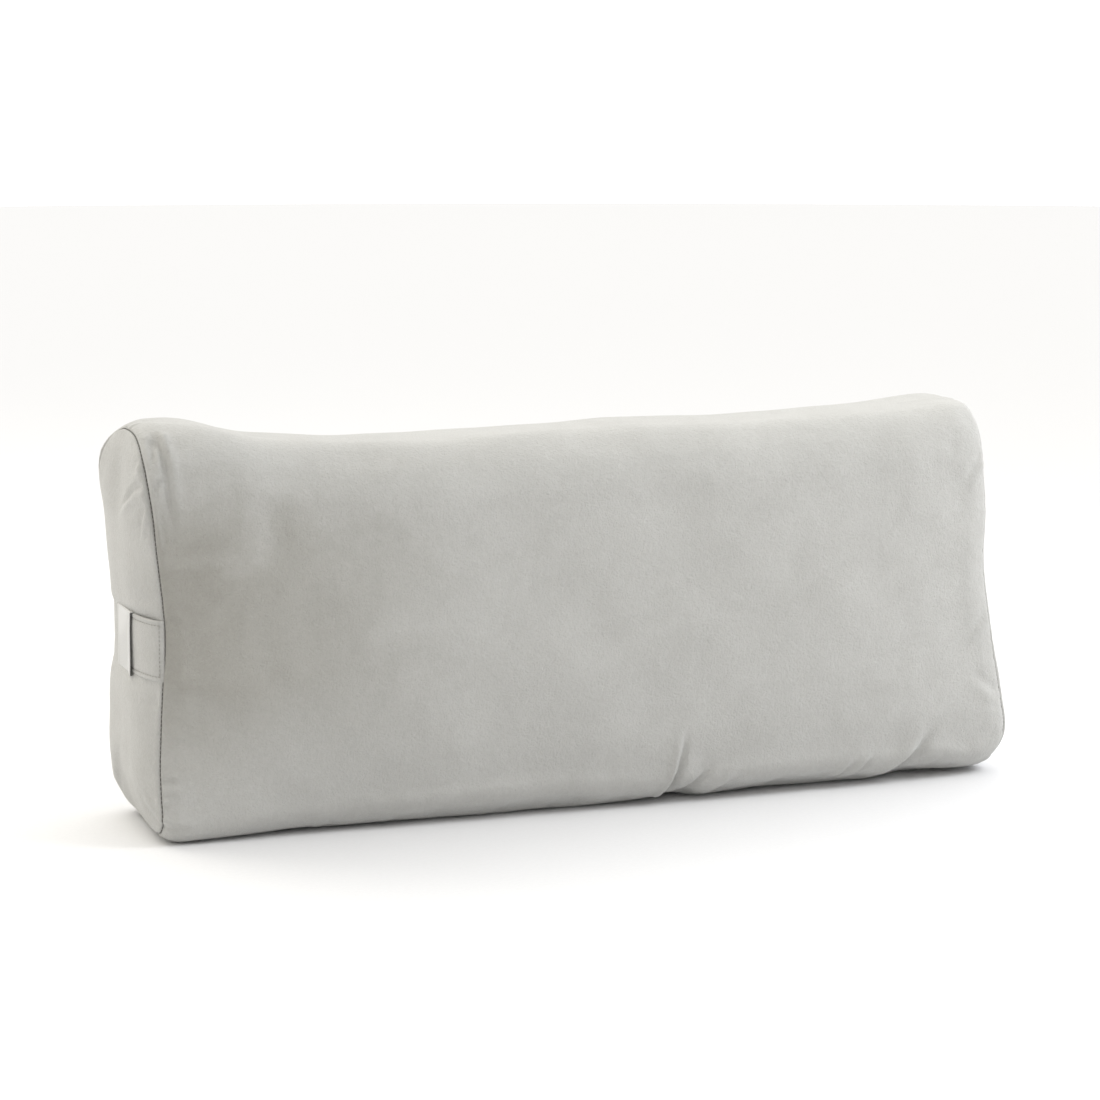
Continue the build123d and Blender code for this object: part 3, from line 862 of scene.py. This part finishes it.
def plastic_material(name, light, dark):
    """Nylon: faintly clouded, with a soft gloss."""
    n = Nodes(name)
    cloud = n.noise(4, 3)
    normal = n.bump(n.noise(0.5, 2), 0.03, 0.4)
    return n.finish(n.blend(cloud, dark, light), normal, n.spread(cloud, 0.3, 0.7, 0.3, 0.42),
                    Coat_Weight=0.1)


def metal_material(name, colour):
    """Die-cast, plated zinc: fine tumbling marks, and a little wear."""
    n = Nodes(name)
    wear = n.noise(2.5, 4, 0.65)
    marks = n.noise(0.35, 3, 0.7, stretch=(1, 1, 4))
    worn = tuple(min(1, c * 1.3) for c in colour)
    share = n.spread(wear, 0.45, 0.7, 0, 1)
    normal = n.bump(marks, 0.03, 0.5)
    return n.finish(n.blend(share, colour, worn), normal, n.spread(wear, 0.3, 0.7, 0.25, 0.42),
                    Metallic=1.0)


def fibre_material():
    """Hollow polyester fibre: matted white strands."""
    n = Nodes("polyester_fibre")
    strands = n.noise(2.2, 5, 0.75, distortion=3)
    tufts = n.noise(14, 3, 0.6)
    share = n.maths("MULTIPLY", strands, n.spread(tufts, 0.3, 0.7, 0.7, 1))
    normal = n.bump(strands, 1.2, 0.8)
    return n.finish(n.blend(share, (0.70, 0.70, 0.68), (0.92, 0.92, 0.90)), normal, 0.95,
                    Sheen_Weight=0.6, Sheen_Roughness=0.6)


def foam_material():
    """Cut polyurethane foam: open cells of about a millimetre."""
    n = Nodes("polyurethane_foam")
    cells = n.add("ShaderNodeTexVoronoi", feature="DISTANCE_TO_EDGE")
    cells.inputs["Scale"].default_value = 1000 / 1.2
    n.link(n.place, cells.inputs["Vector"])
    walls = n.spread(cells.outputs["Distance"], 0, 0.25, 1, 0)
    cloud = n.noise(40, 3)
    skin = n.blend(cloud, (0.78, 0.73, 0.58), (0.84, 0.80, 0.67))
    colour = n.blend(walls, skin, (0.90, 0.87, 0.76))
    return n.finish(colour, n.bump(walls, 0.5, 0.7), 0.9)


# ---------------------------------------------------------------- camera, light and floor
def add_camera(azimuth, elevation, distance, target, lens):
    data = bpy.data.cameras.new("camera")
    data.sensor_width = 36
    data.lens = lens
    camera = bpy.data.objects.new("camera", data)
    bpy.context.scene.collection.objects.link(camera)
    back = direction(azimuth, elevation)
    camera.location = Vector(target) + back * distance
    camera.rotation_euler = back.to_track_quat("Z", "Y").to_euler()
    bpy.context.scene.camera = camera


def direction(azimuth, elevation):
    """From the object towards an onlooker: azimuth 0 stands in front of it."""
    a, e = math.radians(azimuth), math.radians(elevation)
    return Vector((math.sin(a) * math.cos(e), -math.cos(a) * math.cos(e), math.sin(e)))


def add_softbox(name, azimuth, elevation, distance, size, radiance, colour=(1, 1, 1)):
    """A square soft light that faces the cushion. radiance is how bright its face is."""
    data = bpy.data.lights.new(name, "AREA")
    data.size = size
    data.energy = radiance * math.pi * size**2
    data.color = colour
    light = bpy.data.objects.new(name, data)
    bpy.context.scene.collection.objects.link(light)
    back = direction(azimuth, elevation)
    light.location = Vector((0, 0, 0.12)) + back * distance
    light.rotation_euler = back.to_track_quat("Z", "Y").to_euler()


def add_world(behind, above, left_colour, right_colour):
    """Soft light from all round, stronger from behind and from above, and warmer on the left."""
    world = bpy.data.worlds.new("studio")
    bpy.context.scene.world = world
    world.use_nodes = True
    sky = Tree(world.node_tree, "Generated")
    x, y, z = sky.split()
    level = sky.maths("ADD", sky.spread(y, 0, 1, 0, behind), sky.spread(z, 0, 1, 0, above))
    tint = sky.blend(sky.spread(x, -1, 1), left_colour, right_colour)
    background = sky.tree.nodes["Background"]
    sky.link(tint, background.inputs["Color"])
    sky.link(level, background.inputs["Strength"])


def make_floor():
    """A flat round floor of 9 m radius. It curves up into a wall round the front and the sides,
    and stays open towards the light behind."""
    angles = np.radians(np.arange(0, 360, 5))
    radii = np.array([0.5, 3, 6, 6.6, 7.2, 7.8, 8.4, 9.0])[:, None]
    towards_light = 0.3 * np.cos(angles) + 0.95 * np.sin(angles)
    height = 1.6 * ease(0.93, 0.8, towards_light)
    curved = ((radii - 6) / 3).clip(0) * 0.99
    rise = height * (1 - np.sqrt(1 - curved**2))
    flat = radii * np.ones_like(angles)
    grid = np.stack([flat * np.cos(angles), flat * np.sin(angles), rise], 2)
    faces = [tuple(face) for face in grid_faces(len(grid), len(angles), flip=True)]
    return make_mesh("floor", grid, faces + [tuple(range(len(angles)))])


bpy.context.scene.view_settings.view_transform = "Standard"
add_camera(-19.9, 8.9, 2.30, target=(-0.010, 0, 0.179), lens=104.7)
add_world(1.28, 1.36, left_colour=(1.04, 1, 0.90), right_colour=(0.98, 1, 1.04))
add_softbox("right_softbox", 60, 40, 1.3, 0.5, 7.6, (0.98, 1, 1.03))
add_softbox("low_right_softbox", 80, 10, 0.9, 0.5, 1.2)
add_softbox("back_left_softbox", -140, 40, 1.8, 1.0, 2.5, (1.05, 1, 0.90))
floor = make_floor()
paper = Nodes("paper")
paper_colour = paper.blend(paper.noise(3, 2), (0.77, 0.77, 0.78), (0.82, 0.82, 0.83))
floor.data.materials.append(paper.finish(paper_colour, roughness=1.0))


def finish_piece(piece, material, body="cushion", replaces=()):
    """Gives a piece its material, and lets it stand for its CAD nodes."""
    piece.data.materials.clear()
    piece.data.materials.append(material)
    if replaces:
        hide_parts(*replaces)
    if body is not None:
        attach(piece, body)
    return piece


def make_cover(x, wrap, ends):
    """The three cloth panels of the cover, each with its thickness, and the slot for the zip."""
    around = wrap.shape[1]
    faces = grid_faces(len(x), around)
    below = sum(BACK_COUNTS[:3])
    slot_start, slot_end = around - below - BACK_COUNTS[3], around - below
    middle = (x[:-1] + x[1:]) / 2
    open_rows = np.abs(middle) < SLOT_HALF_LENGTH
    j = np.arange(around)
    open_places = (j >= slot_start) & (j < slot_end)
    keep = ~(open_rows[:, None] & open_places[None]).ravel()
    piece = make_mesh("cover_wrap_cloth", wrap, faces[keep])
    weld(piece)
    solidify(piece, COVER_THICK)
    finish_piece(piece, wrap_suede, replaces=["cover_wrap"])
    for name, grid, node in (("left_end_cloth", ends[0], "left_end_panel"),
                             ("right_end_cloth", ends[1], "right_end_panel")):
        panel = closed_end(name, grid, sum(FRONT_COUNTS))
        weld(panel)
        solidify(panel, COVER_THICK)
        finish_piece(panel, suede, replaces=[node])


# ---------------------------------------------------------------- stitches
def stitches(places, along, up, length, width, arch):
    """Points and faces of many stitches: each a short thread that rises from one hole, lies along
    its direction and goes down the next."""
    t = np.linspace(0, 1, 7)
    lift = (np.sin(t * math.pi) ** 0.7 - 0.45) * arch
    radius = width / 2 * (0.55 + 0.45 * np.sin(t * math.pi))
    turns = np.radians(np.arange(6) * 60)
    side = np.cross(along, up)
    spine = (places[:, None] + along[:, None] * ((t - 0.5) * length)[:, None]
             + up[:, None] * lift[:, None])
    around = (side[:, None, None] * np.cos(turns)[:, None] + up[:, None, None] * np.sin(turns)[:, None])
    points = spine[:, :, None] + around * radius[None, :, None, None]
    one = [(r * 6 + k, r * 6 + (k + 1) % 6, (r + 1) * 6 + (k + 1) % 6, (r + 1) * 6 + k)
           for r in range(6) for k in range(6)]
    one += [tuple(range(5, -1, -1)), tuple(range(36, 42))]
    faces = [tuple(i + 42 * n for i in face) for n in range(len(places)) for face in one]
    return points.reshape(-1, 3), faces


def stepped(line, pitch, *others):
    """Evenly spaced places along a line of points, and the same places on other lists."""
    lengths = np.concatenate([[0], np.cumsum(np.linalg.norm(np.diff(line, axis=0), axis=1))])
    count = int(lengths[-1] / pitch)
    wanted = (np.arange(count) + 0.5) * lengths[-1] / count
    return [np.stack([np.interp(wanted, lengths, a[:, k]) for k in range(3)], 1) for a in (line, *others)]


def join(parts):
    """One list of points and faces from several."""
    points, faces, start = [], [], 0
    for some_points, some_faces in parts:
        points.append(some_points)
        faces += [tuple(i + start for i in face) for face in some_faces]
        start += len(some_points)
    return np.concatenate(points), faces


def make_seam_stitches(wrap, ends):
    """The thread that shows at the bottom of each seam's ditch, coloured dark as painted shade of the ditch.
    """
    for name, node, rim, inner, end in (
        ("left_seam_stitches", "left_seam_thread", wrap[0], wrap[3], ends[0]),
        ("right_seam_stitches", "right_seam_thread", wrap[-1], wrap[-4], ends[1]),
    ):
        closed = [np.concatenate([a, a[:1]]) for a in (rim, inner, end[3])]
        place, on_wrap, on_end = stepped(closed[0], SEAM_PITCH, closed[1], closed[2])
        up = unit(unit(on_wrap - place) + unit(on_end - place))
        along = unit(np.gradient(place, axis=0))
        along = unit(along - up * (along * up).sum(1, keepdims=True))
        bare = (np.abs(place[:, 2] - STRAP_Z) > STRAP_HALF) | (place[:, 0] > 0)
        place, along, up = place[bare], along[bare], up[bare]
        points, faces = stitches(place + up * 0.8 * MM, along, up, 2.3 * MM, 0.6 * MM, 0.4 * MM)
        finish_piece(make_mesh(name, points, faces), seam_thread, replaces=[node])


# ---------------------------------------------------------------- the carry strap
def strap_line(seam, sign):
    """The middle of the strap from the seam on one side to the middle of the end panel: points,
    and the way out of its face at each."""
    inward = np.linspace(0, 1, 84) ** 1.7
    farthest = -(STRAP_OUT - STRAP_THICK / 2)
    x = seam[0] + (farthest - seam[0]) * (1 - (1 - inward) ** 2.3) ** 0.5
    y = abs(seam[1]) * (1 - inward) * sign
    line = np.stack([x, y, np.full_like(x, STRAP_Z)], 1)
    tangent = unit(np.gradient(line, axis=0))
    out = np.stack([-np.abs(tangent[:, 1]), sign * np.abs(tangent[:, 0]), 0 * x], 1)
    return line, out


def strap_profile():
    """Half the strap's thickness at each place across it: rounded edges, and a groove under each
    row of stitches."""
    across = STRAP_HALF * np.sin(np.linspace(-90, 90, 61) * math.pi / 180)
    edge = np.sqrt(np.clip(1 - ((np.abs(across) - STRAP_HALF + 1.1 * MM).clip(0) / (1.1 * MM)) ** 2, 0, 1))
    groove = 0.3 * np.exp(-(((np.abs(across) - STRAP_STITCH) / (1.1 * MM)) ** 2))
    return across, STRAP_THICK / 2 * edge * (1 - groove)


def make_strap(wrap):
    """The strap and its stitches. Each is a front and a back half that meet under the label."""
    across, half = strap_profile()
    rim = wrap[0]
    upright = np.array([0, 0, 1.0])
    for sign, side in ((-1, "front"), (1, "back")):
        near = np.abs(rim[:, 2] - STRAP_Z) + np.where(rim[:, 1] * sign > 0, 0, 1)
        seam = rim[near.argmin()] + (-1.1 * MM, sign * 1.0 * MM, 0)
        line, out = strap_line(seam, sign)
        ripple = waves(line, 21, (30, 60), 0.25)[:, None] * ease(0.061, 0.045, np.abs(line[:, 1:2]))
        thick = half[:, None] * (0.3 + 0.7 * ease(0, 3.5 * MM, row_lengths(line[:, None])))[..., None]
        sheet = line[:, None] + upright * across[:, None] + (out * ripple)[:, None]
        outer = sheet + out[:, None] * thick
        inner = sheet - out[:, None] * thick
        grid = np.concatenate([outer, inner[:, -2:0:-1]], 1)
        strap = make_mesh("strap_" + side + "_half", grid, tube_faces(len(line), grid.shape[1]))
        weld(strap, 0.005 * MM)
        rows = []
        for edge in (-STRAP_STITCH, STRAP_STITCH):
            row = line + upright * edge + out * (STRAP_THICK * 0.38 + ripple)
            place, up = stepped(row[6:-2], STRAP_PITCH, out[6:-2])
            along = unit(np.gradient(place, axis=0))
            rows.append(stitches(place, along, unit(up), 2.5 * MM, THREAD_WIDTH, ARCH))
        heights = np.linspace(-1, 1, 12)[:, None] * (STRAP_STITCH - 1.6 * MM) * upright
        place = line[8] + out[8] * STRAP_THICK * 0.5 + heights
        ones = np.ones((len(place), 1))
        rows.append(stitches(place, ones * upright, ones * out[8], 2.0 * MM, THREAD_WIDTH, ARCH))
        sewing = make_mesh("strap_stitches_" + side, *join(rows))
        finish_piece(strap, suede, body=None, replaces=["handle_strap"])
        finish_piece(sewing, thread, body=None, replaces=["handle_topstitching"])
        for piece in (strap, sewing):
            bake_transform(piece)


def make_label():
    """A woven label, looped round the strap and sewn shut behind it. Its front edge stands off."""
    low, high = STRAP_LOW - 0.6 * MM, STRAP_HIGH + 0.6 * MM
    outer, inner = -LABEL_OUT, -(STRAP_OUT - STRAP_THICK) + 0.6 * MM
    corner = 0.9 * MM
    outline = []
    left, right, bottom, top = outer + corner, inner - corner, low + corner, high - corner
    for centre_x, centre_z, start in (
        (left, bottom, 180), (right, bottom, 270), (right, top, 0), (left, top, 90)
    ):
        for angle in np.radians(start + np.linspace(0, 90, 7)):
            outline.append((centre_x + corner * math.cos(angle), centre_z + corner * math.sin(angle)))
    outline = np.array(outline)
    outline = np.concatenate([outline, outline[:1]])
    steps = np.concatenate([[0], np.cumsum(np.linalg.norm(np.diff(outline, axis=0), axis=1))])
    wanted = np.linspace(0, steps[-1], 141)[:-1]
    outline = np.stack([np.interp(wanted, steps, outline[:, k]) for k in range(2)], 1)
    y = np.linspace(-LABEL_HALF, LABEL_HALF, 41)
    front = ease(-0.008, -0.020, y)[:, None]
    on_face = ease(inner, outer, outline[:, 0])[None]
    share = ((outline[:, 1] - low) / (high - low))[None]
    stand_off = (0.5 + 0.9 * (1 - share) ** 2) * MM * front * on_face
    x = outline[None, :, 0] - stand_off - 0.1 * MM * np.sin(share * 5 + y[:, None] * 60) * on_face
    z = outline[None, :, 1] - 1.6 * MM * front * (1 - share) ** 3
    grid = np.stack([x, y[:, None] + 0.5 * MM * np.sin(share * 7) * np.sign(y[:, None]), z], 2)
    label = make_mesh("woven_label", grid, grid_faces(len(y), len(outline)))
    weld(label)
    solidify(label, LABEL_THICK)
    finish_piece(label, label_cloth, body="handle", replaces=["handle_label"])


# ---------------------------------------------------------------- the zip
def slab(name, low, high, cells, ripple, seed):
    """A thin closed sheet between two corners, with rounded long edges and a slight ripple."""
    (x0, y0, z0), (x1, y1, z1) = low, high
    x = np.linspace(x0, x1, cells[0] + 1)
    t = np.linspace(-1, 1, cells[1] + 1)
    middle, z = (y0 + y1) / 2, (z0 + z1) / 2 + (z1 - z0) / 2 * t
    half = (y1 - y0) / 2 * np.sqrt(np.clip(1 - np.abs(t) ** 40, 0.02, 1))
    outer = np.stack([middle + half, z], 1)
    inner = np.stack([middle - half, z], 1)[::-1]
    loop = np.concatenate([outer, inner])
    grid = np.zeros((len(x), len(loop), 3))
    grid[..., 0] = x[:, None]
    grid[..., 1:] = loop
    grid[..., 1] += waves(grid * (1, 0, 1), seed, (12, 40), ripple)
    return make_mesh(name, grid, tube_faces(len(x), len(loop), flip=True))


def make_coil(half, sign, offset):
    """A nylon coil: one filament wound in flat turns, whose heads reach past the zip's middle. It
    is squeezed at its open end, where the slider's post parks."""
    turns = int(2 * ZIP_HALF / COIL_PITCH)
    per_turn = 14
    t = np.arange(turns * per_turn + 1) / per_turn
    x = -ZIP_HALF + t * COIL_PITCH + offset * COIL_PITCH
    angle = 2 * math.pi * t
    squeezed = ease(POST_START, POST_NEAR, x)
    reach = COIL_REACH * (1 - 0.42 * squeezed)
    z = ZIP_Z - sign * COIL_EDGE + sign * (reach * np.cos(angle) - (0.1 + 0.68 * squeezed) * MM)
    y = COIL_Y + COIL_RISE * np.sin(angle)
    keep = x < ZIP_HALF
    line = np.stack([x, y, z], 1)[keep]
    tangent = unit(np.gradient(line, axis=0))
    side = unit(np.cross(tangent, (1.0, 0.0, 0.0)))
    up = np.cross(side, tangent)
    ring_turns = np.radians(np.arange(6) * 60)
    grid = line[:, None] + FILAMENT * (side[:, None] * np.cos(ring_turns)[:, None]
                                       + up[:, None] * np.sin(ring_turns)[:, None])
    node = "zip_coil_" + half
    coil = make_mesh(node + "_filament", grid, tube_faces(len(line), 6))
    weld(coil, 0.001 * MM)
    finish_piece(coil, coil_nylon, replaces=[node])


def straight_row(start, end, pitch, along, up, length, width=THREAD_WIDTH, arch=ARCH):
    """Points and faces of a straight row of stitches, which lie along and stand out along up."""
    (place,) = stepped(np.array([start, end]), pitch)
    ones = np.ones((len(place), 1))
    return stitches(place, ones * unit(np.array(along, float)), ones * up, length, width, arch)


def make_zip():
    """Two tapes with their coils, the stitches that hold them in the slot, and the bar tacks."""
    for node in ("zip_tape_lower", "zip_tape_upper"):
        tape = slab(node + "_woven", *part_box(node), (160, 24), 0.05, 31)
        finish_piece(tape, tape_cloth, replaces=[node])
    make_coil("lower", 1, 0)
    make_coil("upper", -1, 0.5)
    low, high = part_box("zip_topstitching")
    y = BAND_DEPTH + 0.05 * MM
    rows = [straight_row((low.x, y, z), (high.x, y, z), ZIP_PITCH, (1, 0, 0), (0, 1, 0), 2.4 * MM)
            for z in (low.z, high.z)]
    sewing = make_mesh("zip_stitches", *join(rows))
    finish_piece(sewing, thread, replaces=["zip_topstitching"])
    low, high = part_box("zip_bar_tacks")
    y = BAND_DEPTH + 0.15 * MM
    slant = (1, 0, 0.12)
    rows = [straight_row((x, y, low.z), (x, y, high.z), TACK_PITCH, slant, (0, 1, 0), 2.2 * MM, TACK_PITCH)
            for x in (-TACK_X, TACK_X)]
    tacks = make_mesh("bar_tack_stitches", *join(rows))
    finish_piece(tacks, thread, replaces=["zip_bar_tacks"])
    care = slab("care_label_satin", *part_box("care_label"), (40, 16), 0.05, 41)
    finish_piece(care, care_satin, replaces=["care_label"])
    for node, material in (("zip_slider", slider_metal), ("zip_pull", pull_metal)):
        nodes[node].data.materials.clear()
        nodes[node].data.materials.append(material)


# ---------------------------------------------------------------- what is inside
def inside_form(rows, inset, half_length, seed, lengths, height, slack):
    """A wrap inside the cover, slack further in than its inset, that gives way to the cover's folds."""
    form = wrap_form(np.linspace(-SEAM_X, SEAM_X, rows), HALF_COUNTS, inset)
    form[..., 0] *= half_length / SEAM_X
    normals = grid_normals(form)
    heights = waves(form, seed, lengths, height) - slack + front_folds(form, normals).clip(max=0)
    return form + normals * heights[..., None]


def make_liner():
    """The cotton liner: a wrap and two ends, a little slack, sewn shut along the bottom."""
    form = inside_form(91, LINER_INSET, SEAM_X - 4 * MM, 51, (25, 70), 0.35, 0.2 * MM)
    wrap_faces = grid_faces(*form.shape[:2])
    pieces = [(make_mesh("liner_wrap_cotton", form, wrap_faces), "liner_wrap")]
    for side, edge, name, dome in ((-1, 0, "left", left_dome), (1, -1, "right", right_dome)):
        end = end_form(form[edge], 14, dome, side)
        end[..., 0] -= side * ease(0, 4 * MM, row_lengths(end)) * 1.4 * MM
        panel = closed_end(f"liner_{name}_cotton", end, sum(HALF_COUNTS[0]))
        pieces.append((panel, f"liner_{name}_end"))
    for piece, node in pieces:
        weld(piece)
        solidify(piece, LINER_THICK)
        finish_piece(piece, cotton, replaces=[node])
    low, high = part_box("liner_closing_stitch")
    start, end = (low.x, 0, low.z), (high.x, 0, low.z)
    row = straight_row(start, end, CLOSING_PITCH, (1, 0.6, 0), (0, 0, -1), 3.6 * MM, 0.4 * MM, 0.2 * MM)
    closing = make_mesh("liner_closing_thread", *row)
    finish_piece(closing, thread, replaces=["liner_closing_stitch"])


def make_fibre():
    """The fibre that is wrapped round the foam, and a pad at each end of it."""
    outer = inside_form(81, FIBRE_INSET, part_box("fibre_wrap")[1].x, 61, (18, 60), 0.5, 1.0 * MM)
    low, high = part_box("foam_core")
    gap = 0.5 * MM
    inner = outer.copy()
    inner[..., 1] = np.clip(inner[..., 1], low.y - gap, high.y + gap)
    inner[..., 2] = np.clip(inner[..., 2], low.z - gap, high.z + gap)
    loop = np.concatenate([outer, inner[::-1], outer[:1]])
    batting = make_mesh("fibre_batting", loop, grid_faces(*loop.shape[:2]))
    weld(batting)
    finish_piece(batting, fibre, replaces=["fibre_wrap"])
    for side in ("left", "right"):
        node = "fibre_" + side + "_pad"
        pad = rounded_box("fibre_" + side + "_wad", *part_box(node), 9 * MM, (8, 20, 44), 0.6, 71)
        finish_piece(pad, fibre, replaces=[node])


def rounded_box(name, low, high, radius, cells, unevenness, seed):
    """A box with rounded edges and a slightly uneven surface."""
    work = bmesh.new()
    corners = bmesh.ops.create_cube(work, size=1)["verts"]
    for corner in corners:
        for k in range(3):
            corner.co[k] = high[k] if corner.co[k] > 0 else low[k]
    for k in range(3):
        along = [e for e in work.edges if abs((e.verts[0].co - e.verts[1].co).normalized()[k]) > 0.9]
        bmesh.ops.subdivide_edges(work, edges=along, cuts=cells[k] - 1, use_grid_fill=True)
    mesh = bpy.data.meshes.new(name)
    work.to_mesh(mesh)
    work.free()
    points = np.array([v.co for v in mesh.vertices])
    low, high = np.array(low), np.array(high)
    core = np.clip(points, low + radius, high - radius)
    out = unit(points - core)
    points = core + out * (radius + waves(core, seed, (15, 50), unevenness)[:, None] - unevenness * MM)
    mesh.vertices.foreach_set("co", points.astype(np.float32).ravel())
    mesh.update()
    return add_piece(name, mesh)


def make_foam():
    """The foam core: a cut block with crisp, slightly worn edges."""
    core = rounded_box("foam_block", *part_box("foam_core"), 5 * MM, (90, 16, 40), 0.2, 81)
    finish_piece(core, foam, replaces=["foam_core"])


# The wrap's suede carries the painted shade on the front's left part.
wrap_suede = suede_material("wrap_suede", SUEDE_LIGHT, SUEDE_DARK, nap_and_shade_left=True)
suede = suede_material("suede", SUEDE_LIGHT, SUEDE_DARK)
# The thread's colour is darker than its own, as painted shade of its stitch holes.
thread = thread_material("thread", (0.30, 0.29, 0.265))
# The seam thread is really there, but its near-black colour is painted shade of the ditch it lies in.
seam_thread = thread_material("seam_thread", (0.17, 0.165, 0.15))
label_cloth = label_material()
tape_cloth = weave_material("zip_tape", (0.5, 0.5, 0.48), (0.36, 0.36, 0.34), 0.7)
coil_nylon = plastic_material("zip_coil", (0.55, 0.55, 0.52), (0.47, 0.47, 0.44))
slider_metal = metal_material("zip_slider", (0.55, 0.54, 0.52))
pull_metal = metal_material("zip_pull", (0.6, 0.59, 0.57))
care_satin = weave_material("care_satin", (0.82, 0.82, 0.80), (0.7, 0.7, 0.68), 0.25)
cotton = weave_material("liner_cotton", (0.8, 0.79, 0.75), (0.66, 0.65, 0.61), 0.5)
fibre = fibre_material()
foam = foam_material()

x, wrap, ends = cover_forms()
make_cover(x, wrap, ends)
make_seam_stitches(wrap, ends)
make_strap(wrap)
make_label()
make_zip()
make_liner()
make_fibre()
make_foam()
